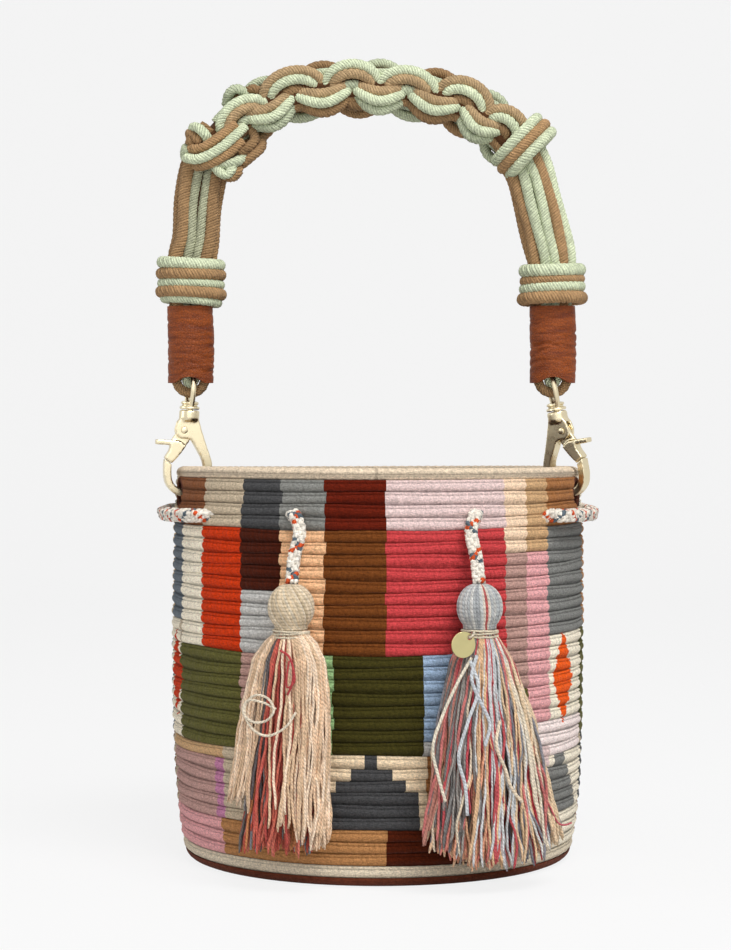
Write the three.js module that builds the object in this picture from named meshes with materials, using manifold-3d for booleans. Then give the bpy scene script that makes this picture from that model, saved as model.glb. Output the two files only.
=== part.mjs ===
// Small round bucket bag of ribbed crochet with a drawstring, two tassels and an upright handle
// of knotted rope. Two swivel trigger clasps hook the handle through holes below the rim.
// Millimetres. The origin is the middle of the base on the ground, +Z is up and -Y is the front.
import * as THREE from "three";
import { mergeVertices } from "three/addons/utils/BufferGeometryUtils.js";
import Module from "manifold-3d";

const wasm = await Module();
wasm.setup();

// Overall sizes
const BODY_R = 92.4; // outer radius at the belly
const BODY_H = 170; // top of the crocheted wall
const WALL = 4.5; // thickness of the padded crochet
const BASE_T = 5; // thickness of the base
const RIM_H = 4.7; // height of the rolled rim
const RIM_W = 6.8; // width of the rolled rim
const HANDLE_RISE = 172; // the handle's centre line over the middle, above the wall
const HANDLE_TOP = BODY_H + HANDLE_RISE;
const GAP = 0.3; // clearance between pieces that touch

// Drawstring
const CORD_D = 6; // braided cord
const EYELET_GAP = 0.6; // room around the cord in its eyelets
const CORD_Z = BODY_H - 15.5; // height of the threaded round
const CORD_IN = BODY_R - WALL - CORD_D / 2 - 1.9; // radius of the run inside the wall
const CORD_OUT = BODY_R + CORD_D / 2 + 0.7; // radius of the run outside the wall

// Tassels
const HEAD_R = 9.5;
const HEAD_Z = BODY_H - 52;
const HEAD_AT = BODY_R + HEAD_R + 0.6; // distance of the heads from the bag's axis
const LEFT_TASSEL = -20.4; // degrees from the front
const RIGHT_TASSEL = 24.2;
const NECK_R = 6.6; // waist of the yarn under the binding thread
const TIE_D = 2.2; // binding thread, several turns thick
const LEFT_LOW = 23; // ends of the skirts above the ground
const RIGHT_LOW = 11;
const CHARM_D = 10.8;
const CHARM_T = 0.8;

// Clasps
const HOLE_W = 13.6; // slits in the wall for the hooks
const HOLE_H = 10.2;
const HOOK_Z = BODY_H - 7; // height of the hook's rod in its hole
const HANDLE_Y = -20.8; // the handle's plane, a little in front of the axis
const HOLE_R = BODY_R - 1.55 - WALL / 2; // middle of the wall at the holes
const HOLE_X = Math.sqrt(HOLE_R ** 2 - HANDLE_Y ** 2);
const LEFT_SWIVEL_X = 0.924 - HOLE_X; // swivel axes at the height of the holes
const RIGHT_SWIVEL_X = HOLE_X - 0.524;
const LEFT_LEAN = 3; // lean of the swivel axes towards the middle, degrees
const RIGHT_LEAN = -10.5;
const LEFT_YAW = 194; // outward direction of each hook, degrees about the swivel axis
const RIGHT_YAW = -39;
const HOOK_W = 5; // width of the hook across its plane
const ROD = 3.2; // thickness of the ring's rod
const SLOT = 2.5; // slot in the head for the gate
const GATE_T = 2; // thickness of the gate in the slot
const PIVOT_U = 2.2; // gate pin, outward of the swivel axis
const PIVOT_H = 27.6; // gate pin above the rod
const PIN_R = 0.9;
const PIN_GAP = 0.06; // running clearance of the gate on its pin
const BARREL_R = 4.5; // round top of the hook body
const POST_R = 1.5; // swivel post
const POST_GAP = 0.08;
const EYE_WIRE = 1.2; // radius of the eye's wire
const EYE_HALF = 5; // half width of the eye's centre line
const LEFT_EYE_TURN = 20; // turn of each eye out of the fore-and-aft plane, degrees
const RIGHT_EYE_TURN = 10;

// Handle
const FOLD_H = 46; // rope loop above the holes, where the eyes turn on the rope
const LOOP_R = 5.8; // half width of the rope's end loops
const LOOP_D = 5; // rope pair in the end loops
const FERRULE_W = 20;
const FERRULE_DEPTH = 16.6;
const FERRULE_WALL = 1.3;
const FERRULE_LOW = 48.5; // ferrule ends above the holes
const FERRULE_TOP = 82.3;
const BUNDLE_W = 16.8; // bundle of rope inside the ferrules
const BUNDLE_DEPTH = 13.2;
const LEG_W = 19.6; // bundle of rope in the legs
const LEG_DEPTH = 14.6;
const KNOT_D = 22; // core of the knotted grip
const KNOT_BULGE = 13.4; // outer radius over each knot
const KNOT_COUNT = 11;
const COLLAR_R = 15.5;
const COLLAR_H = 19.6;
const COLLAR_FLAT = 0.8; // depth of the collar against its width
const ROPE_D = 4.6;

const rad = (degrees) => (degrees * Math.PI) / 180;
const group = new THREE.Group();

const paint = {
  crochet: new THREE.MeshStandardMaterial({ color: 0xb5493c, roughness: 0.95 }),
  beige: new THREE.MeshStandardMaterial({ color: 0xcdbfae, roughness: 0.95 }),
  braid: new THREE.MeshStandardMaterial({ color: 0xe8ded2, roughness: 0.9 }),
  yarn: new THREE.MeshStandardMaterial({ color: 0xa9a9a6, roughness: 0.95 }),
  rope: new THREE.MeshStandardMaterial({ color: 0xb6c7a4, roughness: 0.9 }),
  leather: new THREE.MeshStandardMaterial({ color: 0x8a4a24, roughness: 0.7 }),
  gold: new THREE.MeshStandardMaterial({ color: 0xe3cf9a, metalness: 1, roughness: 0.2 }),
  steel: new THREE.MeshStandardMaterial({ color: 0xb9b9bc, metalness: 1, roughness: 0.3 }),
};

// A geometry as a solid for joining and cutting.
function solid(geometry) {
  const bare = geometry.index ? geometry.toNonIndexed() : geometry.clone();
  bare.deleteAttribute("normal");
  bare.deleteAttribute("uv");
  const merged = mergeVertices(bare, 1e-3);
  return new wasm.Manifold(
    new wasm.Mesh({
      numProp: 3,
      vertProperties: new Float32Array(merged.attributes.position.array),
      triVerts: new Uint32Array(merged.index.array),
    }),
  );
}

// A solid as a geometry.
function shape(made) {
  const mesh = made.getMesh();
  const geometry = new THREE.BufferGeometry();
  geometry.setAttribute("position", new THREE.BufferAttribute(mesh.vertProperties, 3));
  geometry.setIndex(new THREE.BufferAttribute(mesh.triVerts, 1));
  const flat = geometry.toNonIndexed();
  flat.computeVertexNormals();
  return flat;
}

const join = (...geometries) => geometries.map(solid).reduce((a, b) => a.add(b));
const cut = (from, ...tools) => tools.reduce((a, b) => a.subtract(solid(b)), from);

function add(name, geometry, material, parent = group) {
  const mesh = new THREE.Mesh(geometry, material);
  mesh.name = name;
  parent.add(mesh);
  return mesh;
}

// Turned shape about Z from [radius, height] points.
function turned(points, segments) {
  const profile = points.map(([r, z]) => new THREE.Vector2(r, z));
  return new THREE.LatheGeometry(profile, segments).rotateX(Math.PI / 2);
}

// Bar along a curve with an oval section.
function swept(curve, a, b, steps, sides) {
  const points = [];
  for (let i = 0; i < sides; i += 1) {
    const t = (2 * Math.PI * i) / sides;
    points.push(new THREE.Vector2(a * Math.cos(t), b * Math.sin(t)));
  }
  const outline = new THREE.Shape(points);
  return new THREE.ExtrudeGeometry(outline, { steps, extrudePath: curve, curveSegments: 1 });
}

// Plate in the XZ plane, centred on Y, from outline points.
function plate(points, thickness) {
  const outline = new THREE.Shape(points.map(([u, h]) => new THREE.Vector2(u, h)));
  const options = { depth: thickness, bevelEnabled: false, curveSegments: 1 };
  const geometry = new THREE.ExtrudeGeometry(outline, options);
  return geometry.translate(0, 0, -thickness / 2).rotateX(Math.PI / 2);
}

// Smooth run through outline points.
const smooth = (points, count) =>
  new THREE.SplineCurve(points.map(([u, h]) => new THREE.Vector2(u, h)))
    .getPoints(count)
    .map((p) => [p.x, p.y]);

const round = (r, length, sides = 16) => new THREE.CylinderGeometry(r, r, length, sides);

// Point at an angle from the front, a distance from the axis and a height.
const around = (degrees, r, z) =>
  new THREE.Vector3(r * Math.sin(rad(degrees)), -r * Math.cos(rad(degrees)), z);

// Crocheted body: flat base, rounded lower edge, slightly bellied wall
const outside = [
  [0, 0],
  [BODY_R - 12, 0],
  [BODY_R - 8, 1],
  [BODY_R - 5.6, 4],
  [BODY_R - 3, 18],
  [BODY_R - 1, 38],
  [BODY_R, 65],
  [BODY_R, 105],
  [BODY_R - 0.7, BODY_H - 20],
  [BODY_R - 2, BODY_H],
];
const inside = [
  [BODY_R - 2 - WALL, BODY_H],
  [BODY_R - 0.7 - WALL, BODY_H - 20],
  [BODY_R - WALL, 105],
  [BODY_R - WALL, 65],
  [BODY_R - 3 - WALL, 18],
  [BODY_R - 6 - WALL, BASE_T + 2],
  [BODY_R - 9 - WALL, BASE_T],
  [0, BASE_T],
];

// Drawstring: ends at the tassel heads and runs in and out of the wall through eyelets
const OUT_NEAR = CORD_OUT - 0.8; // where the cord meets the outside of an eyelet
const IN_NEAR = CORD_IN + 0.3;
const TOP_OF_HEAD = HEAD_Z + HEAD_R + GAP;
const cordRoute = [
  [LEFT_TASSEL, HEAD_AT - 0.5, TOP_OF_HEAD],
  [LEFT_TASSEL, HEAD_AT - 3.5, TOP_OF_HEAD + 11],
  [-19.6, CORD_OUT + 0.4, CORD_Z - 6],
  [-21, OUT_NEAR - 0.8, CORD_Z],
  [-28, IN_NEAR, CORD_Z + 0.3],
  [-37, CORD_IN, CORD_Z],
  [-48, IN_NEAR, CORD_Z],
  [-56, OUT_NEAR, CORD_Z - 0.3],
  [-68, CORD_OUT, CORD_Z - 0.6],
  [-80, CORD_OUT, CORD_Z - 0.8],
  [-92, CORD_OUT, CORD_Z - 0.6],
  [-104, OUT_NEAR, CORD_Z - 0.3],
  [-112, IN_NEAR, CORD_Z],
  [-128, CORD_IN, CORD_Z + 0.3],
  [-145, IN_NEAR, CORD_Z],
  [-153, OUT_NEAR, CORD_Z - 0.3],
  [-166, CORD_OUT, CORD_Z - 0.6],
  [-180, CORD_OUT, CORD_Z - 0.8],
  [166, CORD_OUT, CORD_Z - 0.6],
  [153, OUT_NEAR, CORD_Z - 0.3],
  [145, IN_NEAR, CORD_Z],
  [128, CORD_IN, CORD_Z + 0.3],
  [112, IN_NEAR, CORD_Z],
  [104, OUT_NEAR, CORD_Z - 0.3],
  [92, CORD_OUT, CORD_Z - 0.6],
  [80, CORD_OUT, CORD_Z - 0.8],
  [68, CORD_OUT, CORD_Z - 0.6],
  [56, OUT_NEAR, CORD_Z - 0.3],
  [48, IN_NEAR, CORD_Z],
  [40, CORD_IN, CORD_Z],
  [32, IN_NEAR, CORD_Z + 0.3],
  [25, OUT_NEAR - 0.8, CORD_Z],
  [23.6, CORD_OUT + 0.4, CORD_Z - 6],
  [RIGHT_TASSEL, HEAD_AT - 3.5, TOP_OF_HEAD + 11],
  [RIGHT_TASSEL, HEAD_AT - 0.5, TOP_OF_HEAD],
];
const cordLine = new THREE.CatmullRomCurve3(cordRoute.map((p) => around(...p)));
const CORD_STEPS = 84;
add("drawstring", swept(cordLine, CORD_D / 2, CORD_D / 2, CORD_STEPS, 6), paint.braid);

const eyelets = CORD_D / 2 + EYELET_GAP;
const eyeletTool = swept(cordLine, eyelets, eyelets, CORD_STEPS, 8);

// Frame of each clasp: the swivel axis leans to the middle, the hook turns about it.
function claspFrame(x, lean) {
  const frame = new THREE.Group();
  frame.position.set(x, HANDLE_Y, HOOK_Z);
  frame.rotation.y = rad(lean);
  group.add(frame);
  return frame;
}
function turnedFrame(parent, degrees) {
  const frame = new THREE.Group();
  frame.rotation.z = rad(degrees);
  parent.add(frame);
  return frame;
}
const leftFrame = claspFrame(LEFT_SWIVEL_X, LEFT_LEAN);
const rightFrame = claspFrame(RIGHT_SWIVEL_X, RIGHT_LEAN);
const leftHook = turnedFrame(leftFrame, LEFT_YAW);
const rightHook = turnedFrame(rightFrame, RIGHT_YAW);
const leftEye = turnedFrame(leftFrame, LEFT_EYE_TURN);
const rightEye = turnedFrame(rightFrame, RIGHT_EYE_TURN);
group.updateMatrixWorld(true);

// Holes for the hooks, square to the wall where each rod crosses it
const CROSS_U = 0.8; // the wall stands this far outward of the swivel axis
function hookHole(frame) {
  const at = frame.localToWorld(new THREE.Vector3(CROSS_U, 0, 0));
  const out = new THREE.Vector3(at.x, at.y, 0).normalize();
  const tool = round(1, 40, 24).scale(HOLE_W / 2, 1, HOLE_H / 2);
  tool.rotateZ(Math.atan2(-out.x, out.y));
  return tool.translate(at.x, at.y, at.z);
}
const wall = solid(turned([...outside, ...inside], 44));
const holed = cut(wall, eyeletTool, hookHole(leftHook), hookHole(rightHook));
add("crochet_body", shape(holed), paint.crochet);

// Rolled rim on top of the wall
const RIM_R = BODY_R - 2 - WALL / 2 - 0.7; // middle of the roll
const rimProfile = [];
for (let i = 0; i <= 9; i += 1) {
  const t = rad(i * 40);
  const z = BODY_H + GAP + (RIM_H / 2) * (1 + Math.sin(t));
  rimProfile.push([RIM_R + (RIM_W / 2) * Math.cos(t), z]);
}
add("rim_binding", turned(rimProfile, 44), paint.beige);

// Tassels: head, binding thread and skirt, which spreads flat against the wall
function tassel(side, degrees, skirt) {
  const frame = new THREE.Group();
  frame.position.copy(around(degrees, HEAD_AT, 0));
  frame.rotation.z = rad(degrees);
  group.add(frame);
  const head = new THREE.SphereGeometry(HEAD_R, 14, 8).rotateX(Math.PI / 2).scale(1, 1, 0.97);
  add(side + "_tassel_head", head.translate(0, 0, HEAD_Z), skirt.material, frame);
  const neckZ = HEAD_Z - HEAD_R - 1.2;
  const tie = new THREE.TorusGeometry(NECK_R + TIE_D / 2 + GAP, TIE_D / 2, 5, 18);
  add(side + "_tassel_tie", tie.translate(0, 0, neckZ), paint.beige, frame);
  const top = HEAD_Z - HEAD_R * 0.97 - GAP;
  const profile = [
    [0, skirt.low],
    [0.96, skirt.low],
    [1, skirt.low + 4],
    [0.8, skirt.low + (neckZ - skirt.low) * 0.4],
    [0.55, neckZ - 14],
    [0.42, neckZ - 4.5],
    [0.3, neckZ - TIE_D / 2 - GAP],
    [0.3, top],
    [0, top],
  ];
  const yarn = turned(profile, 24);
  const place = yarn.attributes.position;
  for (let i = 0; i < place.count; i += 1) {
    const z = place.getZ(i);
    const down = Math.min(1, Math.max(0, (neckZ - TIE_D / 2 - z) / (neckZ - skirt.low)));
    const share = Math.hypot(place.getX(i), place.getY(i));
    const flare = Math.max(share, 0.3);
    const wide = share > 0 ? NECK_R + ((flare - 0.3) / 0.7) * (skirt.half - NECK_R) : 0;
    const deep = share > 0 ? NECK_R + ((flare - 0.3) / 0.7) * (skirt.deep - NECK_R) : 0;
    const turn = Math.atan2(place.getY(i), place.getX(i));
    const fill = share > 0 && share < 0.3 ? share / 0.3 : 1;
    const x = wide * fill * Math.cos(turn) + skirt.lean * down;
    const y = deep * fill * Math.sin(turn) - skirt.out * down;
    place.setXYZ(i, x, y, z);
  }
  add(side + "_tassel_skirt", yarn, skirt.material, frame);
  return frame;
}
const left = { low: LEFT_LOW, half: 22, deep: 8.5, lean: -4.5, out: 0.6, material: paint.beige };
const right = { low: RIGHT_LOW, half: 32, deep: 9.5, lean: 2.5, out: 2.5, material: paint.yarn };
tassel("left", LEFT_TASSEL, left);
const rightTassel = tassel("right", RIGHT_TASSEL, right);

// Charm: plain disc tied by a thread to the binding of the right tassel
const CHARM_X = -NECK_R - 5; // disc from the tassel's axis
const CHARM_Y = -NECK_R - 1.6;
const CHARM_Z = HEAD_Z - HEAD_R - 5;
const CHARM_HOLE = 1.1;
const holeAt = [CHARM_X + 2.9, CHARM_Z + 2.9];
const disc = cut(
  solid(round(CHARM_D / 2, CHARM_T, 32).translate(CHARM_X, CHARM_Y, CHARM_Z)),
  round(CHARM_HOLE, 4, 14).translate(holeAt[0], CHARM_Y, holeAt[1]),
);
add("charm_disc", shape(disc), paint.gold, rightTassel);
const THREAD_R = 0.45;
const threadLine = new THREE.CatmullRomCurve3([
  new THREE.Vector3(holeAt[0] + 2.2, CHARM_Y + 0.6, holeAt[1] + 1.8),
  new THREE.Vector3(holeAt[0] + 1.1, CHARM_Y - 1.4, holeAt[1] + 1.2),
  new THREE.Vector3(holeAt[0] + 0.1, CHARM_Y - 1.2, holeAt[1] + 0.2),
  new THREE.Vector3(holeAt[0], CHARM_Y, holeAt[1]),
  new THREE.Vector3(holeAt[0], CHARM_Y + 1.2, holeAt[1] - 0.2),
]);
add("charm_thread", swept(threadLine, THREAD_R, THREAD_R, 10, 6), paint.beige, rightTassel);

// Hook body in its own plane: u outward, h up from the rod
const OUT_U = 10.2; // outer edge of the claw
const IN_U = -11; // inner edge of the spine
const CLAW_H = 14.5; // top of the claw at its outer edge
const CLAW_FALL = 0.66; // slope of the claw's end, which lets the gate swing past it
const clawTop = (u) => CLAW_H - CLAW_FALL * (OUT_U - u);
const HEAD_H = 33.2; // underside of the barrel
const hookOutline = [
  [-3.9, HEAD_H],
  [-4.8, 30.5],
  ...smooth(
    [
      [-5.6, 28],
      [-8.2, 21],
      [IN_U, 13.5],
      [IN_U + 0.5, 6.8],
      [-6.4, 1.2],
      [0.6, -ROD / 2],
      [5.4, -0.3],
      [9, 3.4],
      [OUT_U, 8.6],
      [OUT_U, clawTop(OUT_U)],
    ],
    20,
  ),
  ...smooth(
    [
      [OUT_U - ROD, clawTop(OUT_U - ROD)],
      [OUT_U - ROD, 8.6],
      [6.3, 5],
      [4.2, 2.5],
      [0.6, ROD / 2],
      [-3.6, 3.2],
      [-6.6, 7],
      [-7.4, 12],
      [-6.2, 15.6],
      [-4.4, 18.5],
      [-2.6, 21.5],
      [-1.4, 23.3],
      [0.6, 23.9],
      [3.6, 23.9],
    ],
    22,
  ),
  [5.6, 25.4],
  [6, 28],
  [5.2, 31.2],
  [3.9, HEAD_H],
];
const SLOT_IN = -2.8; // inner end of the slot
const slotOutline = [
  [SLOT_IN, 21],
  [8, 21],
  [8, 31.4],
  [SLOT_IN, 31.4],
];

// Gate in the same plane: a broad plate that pivots in the slot and closes on the claw
const TIP_GAP = 0.35;
const gateFoot = [
  [7.6, 21.5],
  [8.3, 18.5],
  [OUT_U - 0.3, 15.8],
  [OUT_U, clawTop(OUT_U) + TIP_GAP],
  [OUT_U - ROD, clawTop(OUT_U - ROD) + TIP_GAP],
  [5, 15],
  [3, 17.6],
  [1, 20.6],
];
const gateOutline = [
  [PIVOT_U - 2.9, PIVOT_H + 0.6],
  [PIVOT_U - 1.9, PIVOT_H + 2.4],
  [PIVOT_U, PIVOT_H + 3],
  [PIVOT_U + 1.9, PIVOT_H + 2.3],
  [PIVOT_U + 2.9, PIVOT_H + 0.8],
  [PIVOT_U + 3.6, PIVOT_H - 1.8],
  [7, 24],
  ...gateFoot,
  [-0.4, 22.6],
  [-1, 24.8],
  [PIVOT_U - 2.9, PIVOT_H - 1.2],
];
const gateArm = [[7, 22.8], ...gateFoot, [3, 22.2], [5, 22.9]];
const TAB_OUT = 14.4; // thumb tab
const TAB_H = 22.4;
const TAB_T = 2.2;
const SPRING_R = 1.5;
const SPRING_WIRE = 0.3;
const POCKET_R = 2.1; // recess in the gate around the pin for the spring
const POCKET_DEPTH = 1;

function clasp(side, hookFrame, eyeFrame) {
  const barrelTop = HEAD_H + 3.4;
  const across = (r, length, u, h, v = 0) => round(r, length).translate(u, v, h);
  const upright = (r, low, high, sides = 16) =>
    round(r, high - low, sides).rotateX(Math.PI / 2).translate(0, 0, (low + high) / 2);

  const barrel = turned(
    [
      [0, HEAD_H - 1.4],
      [BARREL_R - 0.7, HEAD_H - 1.4],
      [BARREL_R, HEAD_H - 0.4],
      [BARREL_R, barrelTop - 0.6],
      [BARREL_R - 0.5, barrelTop],
      [0, barrelTop],
    ],
    18,
  );
  const head = cut(
    join(plate(hookOutline, HOOK_W), barrel),
    plate(slotOutline, SLOT),
    across(PIN_R + 0.02, HOOK_W + 2, PIVOT_U, PIVOT_H),
    upright(POST_R + POST_GAP, HEAD_H, barrelTop + 1),
    upright(2.7, HEAD_H - 0.4, HEAD_H + 1.7),
  );
  add(side + "_hook", shape(head), paint.gold, hookFrame);

  const tab = new THREE.BoxGeometry(TAB_OUT - 7, HOOK_W - 0.8, TAB_T);
  const gate = cut(
    join(
      plate(gateOutline, GATE_T),
      plate(gateArm, HOOK_W - 0.2),
      tab.translate((TAB_OUT + 7) / 2, 0, TAB_H - TAB_T / 2 + 0.6),
    ),
    across(PIN_R + PIN_GAP, 8, PIVOT_U, PIVOT_H),
    across(POCKET_R, POCKET_DEPTH, PIVOT_U, PIVOT_H, -GATE_T / 2 + POCKET_DEPTH / 2),
  );
  add(side + "_gate", shape(gate), paint.gold, hookFrame);

  const RIVET = 0.5;
  const pin = join(
    across(PIN_R, HOOK_W + 0.4, PIVOT_U, PIVOT_H),
    across(PIN_R + 0.6, RIVET, PIVOT_U, PIVOT_H, HOOK_W / 2 + 0.05 + RIVET / 2),
    across(PIN_R + 0.6, RIVET, PIVOT_U, PIVOT_H, -HOOK_W / 2 - 0.05 - RIVET / 2),
  );
  add(side + "_gate_pin", shape(pin), paint.gold, hookFrame);

  const coil = [];
  for (let i = 0; i <= 12; i += 1) {
    const t = rad(i * 26);
    const v = -GATE_T / 2 + 0.4 + (i / 12) * 0.2;
    const u = PIVOT_U + SPRING_R * Math.cos(t);
    coil.push(new THREE.Vector3(u, v, PIVOT_H + SPRING_R * Math.sin(t)));
  }
  const coilLine = new THREE.CatmullRomCurve3(coil);
  const spring = swept(coilLine, SPRING_WIRE, SPRING_WIRE, 18, 6);
  add(side + "_gate_spring", spring, paint.steel, hookFrame);

  const flange = turned(
    [
      [0, barrelTop + GAP],
      [BARREL_R - 0.4, barrelTop + GAP],
      [BARREL_R, barrelTop + 0.8],
      [BARREL_R - 0.2, barrelTop + 1.5],
      [BARREL_R - 1.1, barrelTop + 1.9],
      [BARREL_R - 1.1, barrelTop + 2.4],
      [BARREL_R - 0.5, barrelTop + 2.9],
      [BARREL_R - 0.7, barrelTop + 3.6],
      [BARREL_R - 1.7, barrelTop + 4],
      [0, barrelTop + 4],
    ],
    18,
  );
  const low = barrelTop + 2;
  const bow = [
    [-3, low],
    [-4.4, low + 3],
    [-EYE_HALF, low + 7],
    [-4.5, low + 11],
    [-2.7, low + 13.8],
    [0, low + 14.8],
    [2.7, low + 13.8],
    [4.5, low + 11],
    [EYE_HALF, low + 7],
    [4.4, low + 3],
    [3, low],
  ];
  const bowLine = new THREE.CatmullRomCurve3(bow.map(([v, h]) => new THREE.Vector3(0, v, h)));
  const eye = join(
    flange,
    swept(bowLine, EYE_WIRE, EYE_WIRE, 22, 8),
    upright(POST_R, HEAD_H + 0.6, barrelTop + 1),
    upright(2.45, HEAD_H - 0.1, HEAD_H + 1.3),
  );
  add(side + "_eye", shape(eye), paint.gold, eyeFrame);
}
clasp("left", leftHook, leftEye);
clasp("right", rightHook, rightEye);

// Handle ends stand over the eyes, where each swivel axis meets the height of the rope loops.
const leftX = LEFT_SWIVEL_X + FOLD_H * Math.tan(rad(LEFT_LEAN));
const rightX = RIGHT_SWIVEL_X + FOLD_H * Math.tan(rad(RIGHT_LEAN));
const up = (h) => HOOK_Z + h;
const bundleLow = up(FOLD_H) + LOOP_R + 11.5;

// Leather ferrules with an arched mouth that clears the eye
function ferrule(side, x) {
  const height = FERRULE_TOP - FERRULE_LOW;
  const oval = (w, d, h) => round(1, h, 32).rotateX(Math.PI / 2).scale(w / 2, d / 2, 1);
  const tube = cut(
    solid(oval(FERRULE_W, FERRULE_DEPTH, height)),
    oval(FERRULE_W - 2 * FERRULE_WALL, FERRULE_DEPTH - 2 * FERRULE_WALL, height + 2),
    round(10, FERRULE_DEPTH + 4, 40).translate(0, 0, -height / 2 - 7.4),
  );
  const place = shape(tube).translate(x, HANDLE_Y, up(FERRULE_LOW) + height / 2);
  add(side + "_ferrule", place, paint.leather);
}
ferrule("left", leftX);
ferrule("right", rightX);

// Cord collars above the ferrules: four rounds of rope side by side
function collar(side, x) {
  const inner = BUNDLE_W / 2 + 0.9;
  const pitch = COLLAR_H / 4;
  const low = up(FERRULE_TOP) + GAP;
  const profile = [[inner, low]];
  for (let i = 0; i < 4; i += 1) {
    const z = low + pitch * i;
    profile.push([COLLAR_R - 1.4, z]);
    profile.push([COLLAR_R, z + pitch * 0.3]);
    profile.push([COLLAR_R, z + pitch * 0.7]);
  }
  profile.push([COLLAR_R - 1.4, low + COLLAR_H]);
  profile.push([inner, low + COLLAR_H]);
  profile.push([inner, low]);
  const ring = turned(profile, 18).scale(1, COLLAR_FLAT, 1);
  add(side + "_collar", ring.translate(x, HANDLE_Y, 0), paint.rope);
}
collar("left", leftX + 0.3);
collar("right", rightX - 0.2);

// Handle cords: end loops through the eyes, straight legs and the knotted grip over the top
const flat = (x, z) => new THREE.Vector3(x, HANDLE_Y, z);
const endLoop = (x) => {
  const points = [flat(x - LOOP_R, bundleLow + 2)];
  for (let i = 0; i <= 8; i += 1) {
    const t = rad(180 + i * 22.5);
    points.push(flat(x + LOOP_R * Math.cos(t), up(FOLD_H) + LOOP_R + LOOP_R * Math.sin(t)));
  }
  points.push(flat(x + LOOP_R, bundleLow + 2));
  return swept(new THREE.CatmullRomCurve3(points), LOOP_D / 2, LOOP_D / 2, 14, 8);
};
const legTop = up(FERRULE_TOP) + COLLAR_H;
const leftLeg = [
  [leftX, bundleLow],
  [leftX + 0.2, up(FERRULE_TOP)],
  [leftX + 0.4, legTop],
  [leftX + 2.39, HANDLE_TOP - 67],
  [leftX + 3.79, HANDLE_TOP - 49],
  [leftX + 6.79, HANDLE_TOP - 34],
];
const gripFrom = leftX + 6.79;
const gripTo = rightX - 11.57;
const along = (share) => gripFrom + (gripTo - gripFrom) * share;
const grip = [
  [gripFrom, HANDLE_TOP - 34],
  [along(0.0495), HANDLE_TOP - 22],
  [along(0.1364), HANDLE_TOP - 12],
  [along(0.2615), HANDLE_TOP - 4],
  [along(0.4495), HANDLE_TOP],
  [along(0.6375), HANDLE_TOP - 1.8],
  [along(0.8092), HANDLE_TOP - 9],
  [along(0.9343), HANDLE_TOP - 21],
  [gripTo, HANDLE_TOP - 35],
];
const rightLeg = [
  [gripTo, HANDLE_TOP - 35],
  [rightX - 6.87, HANDLE_TOP - 50],
  [rightX - 2.87, HANDLE_TOP - 66],
  [rightX - 0.5, legTop],
  [rightX - 0.1, up(FERRULE_TOP)],
  [rightX, bundleLow],
];
const route = (points) => new THREE.CatmullRomCurve3(points.map(([x, z]) => flat(x, z)));
const gripLine = route(grip);
const KNOT_STEPS = KNOT_COUNT * 4;
const knots = swept(gripLine, 1, 1, KNOT_STEPS, 10);
const stations = gripLine.getSpacedPoints(KNOT_STEPS);
const ring = knots.attributes.position;
for (let i = 0; i < ring.count; i += 1) {
  const at = new THREE.Vector3().fromBufferAttribute(ring, i);
  const far = stations.map((p) => p.distanceTo(at));
  const nearest = far.indexOf(Math.min(...far));
  const swell = Math.sin((Math.PI * (nearest % 4)) / 4);
  const size = KNOT_D / 2 + (KNOT_BULGE - KNOT_D / 2) * swell;
  at.sub(stations[nearest]).multiplyScalar(size).add(stations[nearest]);
  ring.setXYZ(i, at.x, at.y, at.z);
}
const oval = (points, w, d, steps, sides) => swept(route(points), d / 2, w / 2, steps, sides);
const cords = join(
  oval([...leftLeg.slice(0, 3), [leftX + 0.5, legTop + 6]], BUNDLE_W, BUNDLE_DEPTH, 6, 14),
  oval([[leftX + 0.5, legTop + 3.8], ...leftLeg.slice(3)], LEG_W, LEG_DEPTH, 6, 14),
  oval([...rightLeg.slice(0, 3), [rightX - 0.8, legTop + 3.4]], LEG_W, LEG_DEPTH, 6, 14),
  oval([[rightX - 1, legTop + 6], ...rightLeg.slice(3)], BUNDLE_W, BUNDLE_DEPTH, 6, 14),
  knots,
  endLoop(leftX),
  endLoop(rightX),
);
add("handle_cords", shape(cords), paint.rope);

export default group;
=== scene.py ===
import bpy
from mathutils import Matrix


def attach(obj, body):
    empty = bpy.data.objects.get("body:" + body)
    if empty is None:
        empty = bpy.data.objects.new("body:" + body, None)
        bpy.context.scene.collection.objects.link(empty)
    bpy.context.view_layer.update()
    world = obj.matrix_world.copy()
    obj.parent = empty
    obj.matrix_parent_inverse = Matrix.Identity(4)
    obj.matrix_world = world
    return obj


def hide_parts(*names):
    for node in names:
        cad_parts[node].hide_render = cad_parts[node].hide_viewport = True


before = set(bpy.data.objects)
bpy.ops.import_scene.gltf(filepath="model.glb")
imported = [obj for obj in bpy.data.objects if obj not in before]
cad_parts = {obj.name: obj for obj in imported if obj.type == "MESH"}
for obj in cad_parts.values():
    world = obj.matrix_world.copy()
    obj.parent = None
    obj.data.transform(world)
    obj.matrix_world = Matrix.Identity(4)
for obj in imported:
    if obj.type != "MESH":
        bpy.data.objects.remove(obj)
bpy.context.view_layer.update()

import math

import bpy
import numpy as np
from mathutils import Vector

MM = 0.001
TURN = 2 * math.pi
rng = np.random.default_rng(7)  # draws for the handle's ropes

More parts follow.
